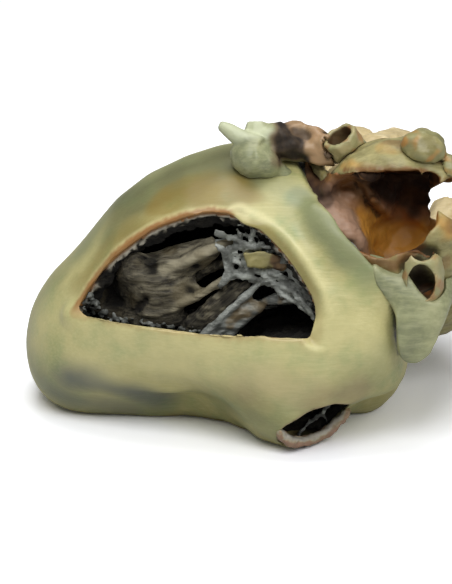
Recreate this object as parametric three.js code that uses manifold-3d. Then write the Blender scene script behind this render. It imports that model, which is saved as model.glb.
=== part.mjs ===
// Dog heart, a preserved teaching preparation lying on its right side. Millimetres, +Z up.
// The apex points along -X and the base along +X. -Y is the caudal side, which carries three
// cut windows: into the left ventricle, the right ventricle and the left atrium. +Z is the
// animal's left. The heart is made as its anatomical parts, each seated on its neighbours.
import * as THREE from "three";
import { mergeVertices } from "three/addons/utils/BufferGeometryUtils.js";
import Module from "manifold-3d";

const wasm = await Module();
wasm.setup();

const V = (x, y, z) => new THREE.Vector3(x, y, z);

// Walls and clearances
const seatGap = 0.3; // between two pieces that lie on each other
const skinThickness = 1.2; // epicardium
const leftWall = 6.2; // left ventricle's free wall, skin included
const rightWall = 3.8; // right ventricle's free wall, skin included
const septumThickness = 6.5;
const plateThickness = 2.2; // fibrous plate that carries the four valves
const leftAtriumWall = 2.0;
const rightAtriumWall = 1.8;
const vesselWall = 1.5;
const veinWall = 1.2;
const leafletThickness = 0.9;
const cuspThickness = 0.7;

const apexEnd = -45; // the ventricles' two ends along x
const baseEnd = 41;
const onBase = (x, y, z) => V(baseEnd + x, y, z); // a place that keeps to the base

// Cross sections of the ventricles by their share of the way from apex to base: lowest and
// highest z, nearest (front) and furthest (back) y, and how far one leans back as it rises.
const ventricleSections = [
  { share: 0, bottom: 14, top: 14, front: 5, back: 5, lean: 0 },
  { share: 0.014, bottom: 6, top: 20.5, front: -3, back: 13, lean: 0 },
  { share: 0.058, bottom: 1, top: 27.5, front: -9.5, back: 18.5, lean: 0 },
  { share: 0.14, bottom: -2.2, top: 35.6, front: -15, back: 23, lean: 0 },
  { share: 0.267, bottom: -2.8, top: 48.6, front: -20.5, back: 26.5, lean: 0.03 },
  { share: 0.43, bottom: -3, top: 56.6, front: -24.5, back: 29, lean: 0.08 },
  { share: 0.593, bottom: -3, top: 59, front: -27.5, back: 31.5, lean: 0.15 },
  { share: 0.744, bottom: -3, top: 58, front: -28, back: 32.5, lean: 0.18 },
  { share: 0.86, bottom: -1.5, top: 54.5, front: -27, back: 31.5, lean: 0.12 },
  { share: 0.936, bottom: 2.2, top: 47, front: -23.7, back: 27.5, lean: 0.05 },
  { share: 0.983, bottom: 9.5, top: 38, front: -15.8, back: 19, lean: 0 },
  { share: 1, bottom: 24, top: 24, front: 2, back: 2, lean: 0 },
];
// Sections of the left ventricle's core. Below and behind it lies the right ventricle, and its
// other sides reach out of the heart, so that only the septum's face is set here.
const coreSections = [
  { share: -0.081, bottom: 18, top: 18, front: 4, back: 4, lean: 0 },
  { share: -0.047, bottom: 0, top: 38, front: -16, back: 24, lean: 0 },
  { share: 0.081, bottom: -9, top: 54, front: -27, back: 34, lean: 0 },
  { share: 0.244, bottom: -4, top: 64, front: -33, back: 34, lean: 0 },
  { share: 0.407, bottom: 6, top: 69, front: -37, back: 28, lean: 0 },
  { share: 0.581, bottom: 12.5, top: 71, front: -38, back: 22, lean: 0 },
  { share: 0.814, bottom: 18, top: 70, front: -38, back: 17, lean: 0 },
  { share: 1.105, bottom: 23, top: 64, front: -34, back: 14, lean: 0 },
  { share: 1.198, bottom: 36, top: 52, front: -18, back: 4, lean: 0 },
  { share: 1.221, bottom: 44, top: 44, front: -8, back: -8, lean: 0 },
];
// Swellings (rise above 0) and hollows (below 0) of the outer surface, each a soft round one
const swellings = [
  { at: V(14, -24, 5), reach: 13, rise: 5.2 }, // right ventricle towards the viewer
  { at: V(-7, -19, 3), reach: 10, rise: -9 }, // waist between left ventricle and right
  { at: V(28, -21, 5), reach: 8, rise: -5.5 }, // hollow beside the small window
  { at: V(-24, -17, 1), reach: 13, rise: -2.3 }, // underside near the apex
  { at: V(-44, -1, 8), reach: 5, rise: -1 }, // notch below the apex
];
// The valve plane is domed: part of a sphere about a point low in the ventricles, which
// reaches their base end
const domeCentre = V(-18, 0, 7);
const domeRadius = baseEnd - domeCentre.x;

// Valve rings by their centre on the dome, half widths across (y) and half heights up it
const valves = {
  mitral: { y: -4.5, z: 37.5, halfWidth: 6.5, halfHeight: 6.6 },
  aortic: { y: 4.8, z: 47, halfWidth: 5.2, halfHeight: 5.2 },
  pulmonary: { y: 23, z: 42, halfWidth: 4.8, halfHeight: 4.8 },
  tricuspid: { y: 17.8, z: 27, halfWidth: 6.4, halfHeight: 5.6 },
};

// Atria
const leftAtriumShape = {
  centre: onBase(-4, -8.7, 47.7),
  radii: V(18.5, 15.3, 18.3),
  longWay: V(1, 0, 0),
};
const rightAtriumShape = {
  centre: onBase(4, 16, 24.5),
  radii: V(24, 14, 13.5),
  longWay: V(-0.1, 0.9, -0.4),
};
const atrialSeptumRadius = 5.4;
const fossaRadius = 3.2; // dish in each face of the septum between the atria
const fossaDepth = 0.9;

// Solids

function solid(geometry) {
  const bare = geometry.clone();
  bare.deleteAttribute("normal");
  bare.deleteAttribute("uv");
  const merged = mergeVertices(bare, 1e-4);
  const mesh = new wasm.Mesh({
    numProp: 3,
    vertProperties: new Float32Array(merged.attributes.position.array),
    triVerts: new Uint32Array(merged.index.array),
  });
  return new wasm.Manifold(mesh);
}

function geometryOf(body) {
  const mesh = body.getMesh();
  const positions = new Float32Array(mesh.numVert * 3);
  for (let i = 0; i < mesh.numVert; i++) {
    const from = i * mesh.numProp;
    positions.set(mesh.vertProperties.subarray(from, from + 3), i * 3);
  }
  const geometry = new THREE.BufferGeometry();
  geometry.setAttribute("position", new THREE.BufferAttribute(positions, 3));
  geometry.setIndex(new THREE.BufferAttribute(mesh.triVerts, 1));
  geometry.computeVertexNormals();
  return geometry;
}

const join = (...bodies) => bodies.reduce((sum, body) => sum.add(body));
const cut = (body, ...tools) => tools.reduce((rest, tool) => rest.subtract(tool), body);

// Keeps the largest of a body's separate pieces, so that a cut leaves no loose sliver
function largest(body) {
  const pieces = body.decompose();
  return pieces.reduce((best, piece) => (piece.volume() > best.volume() ? piece : best));
}

// A closed body through rings of points, with a point at each end
function skinRings(rings, first, last) {
  const sides = rings[0].length;
  const points = [first, ...rings.flat(), last];
  const indices = [];
  const at = (ring, side) => 1 + ring * sides + (side % sides);
  const end = points.length - 1;
  for (let side = 0; side < sides; side++) {
    indices.push(0, at(0, side + 1), at(0, side));
    indices.push(end, at(rings.length - 1, side), at(rings.length - 1, side + 1));
    for (let ring = 0; ring + 1 < rings.length; ring++) {
      const [a, b] = [at(ring, side), at(ring, side + 1)];
      const [c, d] = [at(ring + 1, side), at(ring + 1, side + 1)];
      indices.push(a, b, d, a, d, c);
    }
  }
  const geometry = new THREE.BufferGeometry().setFromPoints(points);
  geometry.setIndex(indices);
  const body = solid(geometry);
  return body.volume() < 0 ? solid(reversed(geometry)) : body;
}

// A closed body of loops set in a ring, the last joined to the first
function closedRings(loops) {
  const sides = loops[0].length;
  const at = (loop, side) => (loop % loops.length) * sides + (side % sides);
  const indices = [];
  for (let loop = 0; loop < loops.length; loop++) {
    for (let side = 0; side < sides; side++) {
      const [a, b] = [at(loop, side), at(loop, side + 1)];
      const [c, d] = [at(loop + 1, side), at(loop + 1, side + 1)];
      indices.push(a, b, d, a, d, c);
    }
  }
  const geometry = new THREE.BufferGeometry().setFromPoints(loops.flat());
  geometry.setIndex(indices);
  const body = solid(geometry);
  return body.volume() < 0 ? solid(reversed(geometry)) : body;
}

function reversed(geometry) {
  const turned = geometry.clone();
  const index = turned.index.array;
  for (let i = 0; i < index.length; i += 3) [index[i + 1], index[i + 2]] = [index[i + 2], index[i + 1]];
  return turned;
}

// A tube along a smooth curve. The radius is a function of the share of the way along, and
// flatten makes the section an ellipse, thinner along the given direction. The ends run on
// straight by over, or the far end is rounded.
function tube(points, radiusAt, options = {}) {
  const { sides = 12, steps = 8, flatten = 1, thin = V(0, 0, 1), over = 0, rounded = false } = options;
  const curve = new THREE.CatmullRomCurve3(points);
  const places = Array.from({ length: steps + 1 }, (_, i) => ({ along: i / steps, shift: 0 }));
  const tip = radiusAt(1) * flatten;
  if (rounded) {
    places.push({ along: 1, shift: tip * 0.55, size: 0.83 }, { along: 1, shift: tip * 0.9, size: 0.44 });
  }
  if (over) {
    places.unshift({ along: 0, shift: -over });
    places.push({ along: 1, shift: over });
  }
  const centreAt = ({ along, shift }) =>
    curve.getPoint(along).addScaledVector(curve.getTangent(along), shift);
  const rings = places.map((place) => {
    const centre = centreAt(place);
    const ahead = curve.getTangent(place.along);
    const short = thin.clone().addScaledVector(ahead, -thin.dot(ahead)).normalize();
    const wide = ahead.clone().cross(short);
    const radius = radiusAt(place.along) * (place.size ?? 1);
    return Array.from({ length: sides }, (_, side) => {
      const turn = (side / sides) * 2 * Math.PI;
      return centre
        .clone()
        .addScaledVector(wide, radius * Math.cos(turn))
        .addScaledVector(short, radius * flatten * Math.sin(turn));
    });
  });
  const end = rounded ? { along: 1, shift: tip } : places[places.length - 1];
  return skinRings(rings, centreAt(places[0]), centreAt(end));
}

// An ellipsoid whose local x, the first of its radii, points the long way
function ellipsoid(centre, radii, longWay = V(1, 0, 0), across = 24) {
  const ball = new THREE.SphereGeometry(1, across, Math.round(across * 0.6));
  ball.scale(radii.x, radii.y, radii.z);
  const turn = new THREE.Quaternion().setFromUnitVectors(V(1, 0, 0), longWay.clone().normalize());
  ball.applyQuaternion(turn);
  ball.translate(centre.x, centre.y, centre.z);
  return solid(ball);
}

// A thin sheet: the surface that point(across, along) gives, both 0 to 1, made thick
function sheet(point, thickness, across, along) {
  const grid = (side) => {
    const rows = [];
    for (let j = 0; j <= along; j++) {
      for (let i = 0; i <= across; i++) {
        const [u, v] = [i / across, j / along];
        const step = 1e-3;
        const du = point(Math.min(u + step, 1), v).sub(point(Math.max(u - step, 0), v));
        const dv = point(u, Math.min(v + step, 1)).sub(point(u, Math.max(v - step, 0)));
        const normal = du.cross(dv).normalize();
        rows.push(point(u, v).addScaledVector(normal, (side * thickness) / 2));
      }
    }
    return rows;
  };
  const points = [...grid(1), ...grid(-1)];
  const half = points.length / 2;
  const at = (i, j, back) => j * (across + 1) + i + (back ? half : 0);
  const indices = [];
  const quad = (a, b, c, d) => indices.push(a, b, c, a, c, d);
  for (let j = 0; j < along; j++) {
    for (let i = 0; i < across; i++) {
      quad(at(i, j), at(i + 1, j), at(i + 1, j + 1), at(i, j + 1));
      quad(at(i, j, 1), at(i, j + 1, 1), at(i + 1, j + 1, 1), at(i + 1, j, 1));
    }
  }
  for (let i = 0; i < across; i++) {
    quad(at(i, 0), at(i, 0, 1), at(i + 1, 0, 1), at(i + 1, 0));
    quad(at(i + 1, along), at(i + 1, along, 1), at(i, along, 1), at(i, along));
  }
  for (let j = 0; j < along; j++) {
    quad(at(0, j + 1), at(0, j + 1, 1), at(0, j, 1), at(0, j));
    quad(at(across, j), at(across, j, 1), at(across, j + 1, 1), at(across, j + 1));
  }
  const geometry = new THREE.BufferGeometry().setFromPoints(points);
  geometry.setIndex(indices);
  const body = solid(geometry);
  return body.volume() < 0 ? solid(reversed(geometry)) : body;
}

// A prism that cuts a window: an outline in the plane across the cut's direction
function windowCutter(shape, centre, direction, depth) {
  const out = direction.clone().normalize();
  const across = V(1, 0, 0).addScaledVector(out, -out.x).normalize();
  const up = out.clone().cross(across);
  const prism = new THREE.ExtrudeGeometry(shape, {
    depth,
    bevelEnabled: false,
    curveSegments: 7,
  });
  prism.translate(0, 0, -depth / 2);
  prism.applyMatrix4(new THREE.Matrix4().makeBasis(across, up, out));
  prism.translate(centre.x, centre.y, centre.z);
  return solid(prism);
}

// Ventricles

// A smooth surface through cross sections: point(share, turn) with share 0 to 1 from end to end
function surfaceThrough(sections) {
  const columns = ["share", "bottom", "top", "front", "back", "lean"];
  const values = sections.flatMap((section) => columns.map((column) => section[column]));
  const places = sections.map((_, i) => i / (sections.length - 1));
  const spline = new THREE.CubicInterpolant(places, values, columns.length);
  return (share, turn) => {
    const [along, bottom, top, front, back, lean] = spline.evaluate(share);
    const x = THREE.MathUtils.lerp(apexEnd, baseEnd, along);
    const rise = ((top - bottom) / 2) * Math.sin(turn);
    const reach = ((back - front) / 2) * Math.cos(turn);
    return V(x, (front + back) / 2 + reach + lean * rise, (top + bottom) / 2 + rise);
  };
}

const ventriclesPlain = surfaceThrough(ventricleSections);
const coreSurface = surfaceThrough(coreSections);

// The outer surface with its swellings
function ventriclesSurface(share, turn) {
  const point = ventriclesPlain(share, turn);
  const outward = point.clone().sub(axisPoint(share)).normalize();
  let rise = 0;
  for (const swelling of swellings) {
    rise += swelling.rise * Math.exp(-point.distanceToSquared(swelling.at) / swelling.reach ** 2);
  }
  point.addScaledVector(outward, rise);
  return point;
}

function axisPoint(share) {
  return ventriclesPlain(share, 0).add(ventriclesPlain(share, Math.PI)).multiplyScalar(0.5);
}

function normalOf(surface, share, turn) {
  const step = 2e-3;
  const along = surface(share + step, turn).sub(surface(share - step, turn));
  const around = surface(share, turn + step).sub(surface(share, turn - step));
  return around.cross(along).normalize();
}

// The body inside a surface, shrunk by depth along its normals
function bodyInside(surface, depth, sides, rings) {
  const loops = [];
  for (let i = 1; i < rings; i++) {
    const share = i / rings;
    loops.push(
      Array.from({ length: sides }, (_, side) => {
        const turn = (side / sides) * 2 * Math.PI;
        return surface(share, turn).addScaledVector(normalOf(surface, share, turn), -depth);
      }),
    );
  }
  const first = surface(0, 0).add(V(depth, 0, 0));
  const last = surface(1, 0).add(V(-depth, 0, 0));
  return skinRings(loops, first, last);
}

const dome = (rise) => {
  const radius = domeRadius + rise;
  return ellipsoid(domeCentre, V(radius, radius, radius), V(1, 0, 0), 21);
};
const fine = [29, 20];
const coarse = [20, 15];
const underSkin = skinThickness + seatGap;
const plateTop = seatGap + plateThickness;
const onPlate = plateTop + seatGap;

// Everything above a level, as a block that is larger than the heart
function above(level) {
  const size = 2 * (baseEnd - apexEnd);
  const block = new THREE.BoxGeometry(size, size, size);
  block.translate(0, 0, level + size / 2);
  return solid(block);
}

// The ventricles shrunk by depth, flat underneath where the heart lies on the table
const ventricles = (depth, detail = coarse) =>
  bodyInside(ventriclesSurface, depth, ...detail).intersect(above(depth));
const core = (depth) => bodyInside(coreSurface, depth, 18, 12);
const domeFlush = dome(0);
const domeOnPlate = dome(onPlate);
const ventriclesClear = ventricles(-seatGap, fine);
const skinClear = ventriclesClear.intersect(dome(onPlate + seatGap));
const besideSkin = cut(skinClear, ventricles(underSkin));

// The left ventricle's hollow and the right one's, smaller all round by shrink
const leftHollow = (shrink, top = -shrink) =>
  ventricles(leftWall + shrink)
    .intersect(core(septumThickness + shrink))
    .intersect(dome(top));
const rightHollow = (shrink, top = -shrink) =>
  cut(ventricles(rightWall + shrink), core(-shrink)).intersect(dome(top));

// Left ventricle's window: a long arch over a nearly straight lower edge
const leftWindow = {
  centre: V(-6, -22, 39),
  direction: V(-0.2, -0.72, 0.66),
  depth: 36,
  left: new THREE.Vector2(-29, -2),
  crown: new THREE.Vector2(3, 15),
  right: new THREE.Vector2(25.5, -8.5),
  sag: -11.5,
};

function leftWindowShape() {
  const { left, crown, right, sag } = leftWindow;
  const shape = new THREE.Shape();
  shape.moveTo(left.x, left.y);
  shape.bezierCurveTo(left.x + 5, left.y + 9, crown.x - 14, crown.y - 0.5, crown.x, crown.y);
  shape.bezierCurveTo(crown.x + 10, crown.y - 0.5, right.x - 5, right.y + 13, right.x, right.y);
  shape.quadraticCurveTo(right.x + 0.5, sag - 1, right.x - 4, sag - 0.5);
  shape.bezierCurveTo(crown.x, sag + 1, crown.x - 12, sag + 1.5, left.x, left.y);
  return shape;
}

function ovalShape(halfLength, halfHeight, tilt = 0) {
  return new THREE.Shape().absellipse(0, 0, halfLength, halfHeight, 0, 2 * Math.PI, false, tilt);
}

// Right ventricle's window: a small slanting oval low on the same side
const rightWindow = {
  centre: V(19.6, -27, 6.4),
  direction: V(0.25, -0.95, -0.1),
  depth: 22,
  shape: ovalShape(8.5, 6, THREE.MathUtils.degToRad(22)),
};

const windowBody = ({ shape, centre, direction, depth }) => windowCutter(shape, centre, direction, depth);
const leftWindowCut = windowBody({ ...leftWindow, shape: leftWindowShape() });
const rightWindowCut = windowBody(rightWindow);

const ringSides = 16;

// Valve rings on the dome: centre, way out of the heart, and the two ways along the dome
function ringFrame({ y, z }) {
  const x = domeCentre.x + Math.sqrt(domeRadius ** 2 - (y - domeCentre.y) ** 2 - (z - domeCentre.z) ** 2);
  const centre = V(x, y, z);
  const out = centre.clone().sub(domeCentre).normalize();
  const side = V(0, 1, 0).addScaledVector(out, -out.y).normalize();
  return { centre, out, side, up: out.clone().cross(side) };
}

function ringPoint(valve, turn, inset, rise) {
  const { centre, out, side, up } = ringFrame(valve);
  return centre
    .addScaledVector(side, (valve.halfWidth - inset) * Math.cos(turn))
    .addScaledVector(up, (valve.halfHeight - inset) * Math.sin(turn))
    .addScaledVector(out, rise);
}

function ringBore(valve, inset, from, to) {
  const loop = (rise) =>
    Array.from({ length: ringSides }, (_, i) => ringPoint(valve, (i / ringSides) * 2 * Math.PI, inset, rise));
  const { centre, out } = ringFrame(valve);
  return skinRings(
    [loop(from), loop(to)],
    centre.clone().addScaledVector(out, from),
    centre.clone().addScaledVector(out, to),
  );
}

// A valve leaflet: hangs from its ring by one stretch of the ring's turn and narrows downwards
function leafletSurface({ valve, from, to, length, pinch, hang }) {
  const inset = leafletThickness / 2;
  const down = hang.clone().normalize();
  return (across, along) => {
    const turn = THREE.MathUtils.lerp(from, to, across);
    const reach = length * (0.5 + 0.5 * Math.sin(Math.PI * across)) * along;
    const rim = ringPoint(valve, turn, inset, plateTop - leafletThickness);
    const axis = ringFrame(valve).centre;
    const inward = axis.sub(rim);
    return rim.addScaledVector(inward, pinch * along ** 1.5).addScaledVector(down, reach);
  };
}

// A pocket-shaped cusp of an outlet valve
function cuspSurface(valve, from, to) {
  const inset = seatGap + cuspThickness / 2;
  return (across, along) => {
    const turn = THREE.MathUtils.lerp(from, to, across);
    const belly = Math.sin(Math.PI * across);
    const shrink = along * (0.25 + 0.6 * belly);
    const rise = plateTop - cuspThickness - belly * (1 - along) ** 2 * 0.6 * valve.halfWidth;
    const rim = ringPoint(valve, turn, inset, rise);
    const middle = ringFrame(valve).centre.addScaledVector(ringFrame(valve).out, rise);
    return rim.lerp(middle, shrink);
  };
}

// Vessels: a wall round a bore along a curve
function vessel({ points, radius, wall }) {
  return {
    body: (grow = 0) => tube(points, () => radius + grow, { sides: 10, steps: 3, over: grow }),
    bore: () => tube(points, () => radius - wall, { sides: 10, steps: 3, over: 4 }),
  };
}

const outOf = (valve, rise) => {
  const { centre, out } = ringFrame(valve);
  return centre.addScaledVector(out, rise);
};

const aorta = vessel({
  points: [outOf(valves.aortic, 1), outOf(valves.aortic, 6), onBase(-8, 13, 53), onBase(-2, 23, 51)],
  radius: valves.aortic.halfWidth + vesselWall,
  wall: vesselWall,
});
const pulmonaryTrunk = vessel({
  points: [outOf(valves.pulmonary, 1), outOf(valves.pulmonary, 7), onBase(-12.5, 30, 49), onBase(-10, 33, 49)],
  radius: valves.pulmonary.halfWidth + vesselWall,
  wall: vesselWall,
});

// Atria: a shell that keeps its wall where a neighbour dents it
function dentedShell(shape, wall, neighbours) {
  const grown = (by) => shape.radii.clone().addScalar(by);
  const outer = (by) => ellipsoid(shape.centre, grown(by), shape.longWay, 14);
  const clear = neighbours.map((neighbour) => neighbour(seatGap));
  const walled = neighbours.map((neighbour) => neighbour(seatGap + wall));
  const shell = cut(outer(0), ...clear);
  const hollow = cut(outer(-wall), ...walled);
  return { outer, shell, hollow };
}

const leftAtrium = dentedShell(leftAtriumShape, leftAtriumWall, [aorta.body, pulmonaryTrunk.body]);
const rightAtrium = dentedShell(rightAtriumShape, rightAtriumWall, [
  aorta.body,
  pulmonaryTrunk.body,
  leftAtrium.outer,
]);

const towardsViewer = V(0, -0.927, 0.375);
// The left atrium's window follows its roof above and the ventricles' rim below
const leftAtriumWindow = {
  centre: onBase(-8.5, -20, 53.5),
  direction: towardsViewer,
  depth: 20,
  shape: new THREE.Shape(
    [
      [-13.7, 4.6],
      [-12.9, 7.1],
      [-10.6, 8],
      [-4.3, 8.2],
      [2.4, 8.6],
      [7.6, 8.7],
      [8.6, 7],
      [8.4, 2.5],
      [8.7, -0.8],
      [9.4, -3.6],
      [8.4, -6.4],
      [5.4, -8.2],
      [1.3, -9.8],
      [-1.4, -9.6],
      [-4.5, -8.3],
      [-9.3, -4.2],
      [-12.5, 1],
    ].map(([x, y]) => new THREE.Vector2(x, y)),
  ),
};
const veinPassage = vessel({
  points: [onBase(7, -24, 58.2), onBase(7, 8, 45.2)],
  radius: 4.6 + veinWall,
  wall: veinWall,
});
const upperVein = vessel({
  points: [onBase(-11, -1, 56), onBase(-14, -2.5, 60), onBase(-17, -4, 65)],
  radius: 4,
  wall: veinWall,
});
const backVein = vessel({
  points: [onBase(5, -7, 54), onBase(13, -3, 58), onBase(18, 2, 60)],
  radius: 4,
  wall: veinWall,
});
const cranialCava = vessel({
  points: [onBase(5, 28, 24), onBase(10, 38, 27), onBase(13, 44, 29)],
  radius: 6,
  wall: veinWall,
});
const caudalCava = vessel({
  points: [onBase(9, 12, 26), onBase(18, 8, 27), onBase(25, 5, 27)],
  radius: 6.5,
  wall: veinWall,
});

// Septum between the atria: a disc with a dish in each face, set in a hole through both walls
const atrialLine = rightAtriumShape.centre.clone().sub(leftAtriumShape.centre).normalize();

function radiusAlong({ radii, longWay }, direction) {
  const turn = new THREE.Quaternion().setFromUnitVectors(longWay.clone().normalize(), V(1, 0, 0));
  return 1 / direction.clone().applyQuaternion(turn).divide(radii).length();
}

function atrialSeptumPlug(radius, from, to) {
  const reach = radiusAlong(leftAtriumShape, atrialLine);
  const at = (distance) => leftAtriumShape.centre.clone().addScaledVector(atrialLine, reach + distance);
  return tube([at(from), at(to)], () => radius, { sides: 14, steps: 1 });
}

function atrialSeptum() {
  const from = -leftAtriumWall;
  const to = seatGap + rightAtriumWall;
  const reach = radiusAlong(leftAtriumShape, atrialLine);
  const dish = (face, side) =>
    ellipsoid(
      leftAtriumShape.centre.clone().addScaledVector(atrialLine, reach + face),
      V(fossaDepth, fossaRadius, fossaRadius),
      atrialLine,
      10,
    );
  return cut(atrialSeptumPlug(atrialSeptumRadius - seatGap, from, to), dish(from), dish(to));
}

const heart = new THREE.Group();

function add(name, body, color, roughness = 0.6) {
  const material = new THREE.MeshStandardMaterial({ color, roughness, metalness: 0 });
  const mesh = new THREE.Mesh(geometryOf(largest(body)), material);
  mesh.name = name;
  heart.add(mesh);
  return mesh;
}

const colours = {
  skin: 0xb9b483,
  muscle: 0x8f8a78,
  rightMuscle: 0x9a8f7c,
  fibre: 0xb5ae9a,
  atrium: 0xa97f4c,
  vessel: 0xc2b58a,
  fat: 0xc0bd96,
};

// Skin and walls
const rimCuts = [leftAtrium.outer(seatGap), rightAtrium.outer(seatGap)];
add(
  "epicardium",
  cut(ventricles(0, fine), ventricles(skinThickness), leftWindowCut, rightWindowCut, ...rimCuts).intersect(
    domeOnPlate,
  ),
  colours.skin,
);
const underSkinBody = ventricles(underSkin).intersect(domeFlush);
add(
  "left_ventricle_wall",
  cut(underSkinBody.intersect(core(0)), ventricles(leftWall), leftWindowCut),
  colours.muscle,
);
add(
  "interventricular_septum",
  cut(core(0).intersect(ventricles(leftWall + seatGap)).intersect(domeFlush), core(septumThickness)),
  colours.muscle,
);
add(
  "right_ventricle_wall",
  cut(underSkinBody, core(-seatGap), ventricles(rightWall), rightWindowCut),
  colours.rightMuscle,
);

// Valve plate
const rings = Object.values(valves);
add(
  "valve_plate",
  cut(
    ventricles(underSkin).intersect(dome(plateTop)),
    dome(seatGap),
    ...rings.map((valve) => ringBore(valve, 0, -6, 8)),
  ),
  colours.fibre,
);

// Atria and vessels
add("aorta", cut(aorta.body(), aorta.bore(), domeOnPlate), colours.vessel);
add(
  "pulmonary_trunk",
  cut(pulmonaryTrunk.body(), pulmonaryTrunk.bore(), domeOnPlate, aorta.body(seatGap), besideSkin),
  colours.vessel,
);
const atrialSeptumHole = atrialSeptumPlug(atrialSeptumRadius, -6, 6);
add(
  "left_atrium",
  cut(
    leftAtrium.shell,
    leftAtrium.hollow,
    domeOnPlate,
    windowBody(leftAtriumWindow),
    veinPassage.bore(),
    upperVein.bore(),
    backVein.bore(),
    atrialSeptumHole,
  ),
  colours.atrium,
);
add(
  "right_atrium",
  cut(
    rightAtrium.shell,
    rightAtrium.hollow,
    domeOnPlate,
    cranialCava.bore(),
    caudalCava.bore(),
    atrialSeptumHole,
  ),
  colours.atrium,
);

add("interatrial_septum", cut(atrialSeptum(), domeOnPlate), colours.atrium);

const onLeftAtrium = leftAtrium.outer(seatGap);
const onRightAtrium = rightAtrium.outer(seatGap);
for (const [name, vein] of Object.entries({
  pulmonary_vein_upper: upperVein,
  pulmonary_vein_back: backVein,
})) {
  add(name, cut(vein.body(), vein.bore(), onLeftAtrium, aorta.body(seatGap)), colours.vessel);
}
for (const [name, cava] of Object.entries({
  cranial_vena_cava: cranialCava,
  caudal_vena_cava: caudalCava,
})) {
  add(name, cut(cava.body(), cava.bore(), onRightAtrium, onLeftAtrium), colours.vessel);
}

// Everything that the appendages and the fat lie against
const baseBodies = [
  onLeftAtrium,
  onRightAtrium,
  domeOnPlate.intersect(ventriclesClear),
  skinClear,
  aorta.body(seatGap),
  pulmonaryTrunk.body(seatGap),
  upperVein.body(seatGap),
  cranialCava.body(seatGap),
  caudalCava.body(seatGap),
];

// Coronary sinus: a flattened vessel on the atrium's wall, cut open in two places
const sinus = { centre: onBase(0.2, -21, 40.3), radii: V(7.8, 6, 5), longWay: V(0.1, 0, -0.99) };
const sinusBody = (by) => ellipsoid(sinus.centre, sinus.radii.clone().addScalar(by), sinus.longWay, 12);
const sinusWindows = [
  { centre: onBase(0, -23, 45.3), direction: towardsViewer, depth: 10, shape: ovalShape(2.4, 1.5) },
  { centre: onBase(-0.2, -26, 39.9), direction: towardsViewer, depth: 12, shape: ovalShape(2.9, 3.9) },
];
add(
  "coronary_sinus",
  cut(sinusBody(0), sinusBody(-veinWall), ...sinusWindows.map(windowBody), ...baseBodies),
  colours.vessel,
);

// Auricles
const leftAuricle = {
  lump: { centre: V(5.8, -3.4, 59.7), radii: V(4.9, 4.8, 4.5) },
  neck: [onBase(-17, -3, 61), onBase(-24, 1, 61.5), V(11, 0, 62.3), V(7, -1.5, 61.5)],
  stump: [V(6, -2, 61), V(6.2, -0.5, 63.5), V(6.6, 1, 66.2)],
  spike: [V(7, -4, 62), V(2, -2, 64.6), V(-1.4, -1, 66.2)],
};
const leftAuricleBody = (by) =>
  join(
    ellipsoid(leftAuricle.lump.centre, leftAuricle.lump.radii.clone().addScalar(by), V(1, 0, 0), 14),
    tube(leftAuricle.neck, (t) => by + 3.4 + Math.sin(Math.PI * t), { sides: 10, steps: 6 }),
    tube(leftAuricle.stump, (t) => by + 3 - 0.7 * t, { sides: 8, steps: 1 }),
    tube(leftAuricle.spike, (t) => by + 2.8 - 1.9 * t, { sides: 8, steps: 3 }),
  );
add("left_auricle", cut(leftAuricleBody(0), ...baseBodies), colours.skin);
const rightAuricleLine = [
  onBase(5, -6, 32),
  onBase(3.7, -15, 37),
  onBase(1.4, -21.5, 35),
  onBase(-0.2, -23.8, 29.5),
  onBase(-2.2, -24.3, 23.5),
];
const rightAuricleBody = (by) =>
  tube(rightAuricleLine, (t) => by + 6.3 - 0.9 * t - 2.4 * t ** 4, {
    sides: 12,
    steps: 7,
    flatten: 0.62,
    thin: V(0, -1, 0.3),
    rounded: true,
  });
add("right_auricle", cut(rightAuricleBody(0), ...baseBodies, sinusBody(seatGap)), colours.skin);

// Fat: lobules on the atrium's roof, and a band in the groove round the ventricles' rim
const lobules = [
  { centre: onBase(0.4, -12, 65), radii: V(5, 5, 4) },
  { centre: onBase(5.7, -12, 59.4), radii: V(4.8, 5, 4) },
  { centre: onBase(10.5, -10, 55), radii: V(4, 5, 4.4) },
];
const roofFat = join(...lobules.map(({ centre, radii }) => ellipsoid(centre, radii, V(1, 0, 0), 11)));
add("roof_fat", cut(roofFat, ...baseBodies, backVein.body(seatGap), veinPassage.bore()), colours.fat);

const bandTurns = 26;
const bandRadius = 2.6;
function rimPoint(turn) {
  let [low, high] = [0.3, 1];
  for (let i = 0; i < 24; i++) {
    const middle = (low + high) / 2;
    const inside = ventriclesSurface(middle, turn).distanceTo(domeCentre) < domeRadius + onPlate;
    [low, high] = inside ? [middle, high] : [low, middle];
  }
  return ventriclesSurface(low, turn);
}
function grooveBand() {
  const centre = outOf({ y: 2, z: 34 }, 0);
  const loops = Array.from({ length: bandTurns }, (_, i) => {
    const rim = rimPoint((i / bandTurns) * 2 * Math.PI);
    const inward = centre.clone().sub(rim).normalize();
    const out = rim.clone().sub(domeCentre).normalize();
    const middle = rim.addScaledVector(inward, bandRadius);
    return Array.from({ length: 8 }, (_, k) => {
      const turn = (k / 8) * 2 * Math.PI;
      return middle
        .clone()
        .addScaledVector(inward, bandRadius * Math.cos(turn))
        .addScaledVector(out, bandRadius * Math.sin(turn));
    });
  });
  return closedRings(loops);
}
const besideGroove = [
  ...baseBodies,
  leftAuricleBody(seatGap),
  rightAuricleBody(seatGap),
  sinusBody(seatGap),
];
add("coronary_groove_fat", cut(grooveBand(), ...besideGroove), colours.fat);
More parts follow.
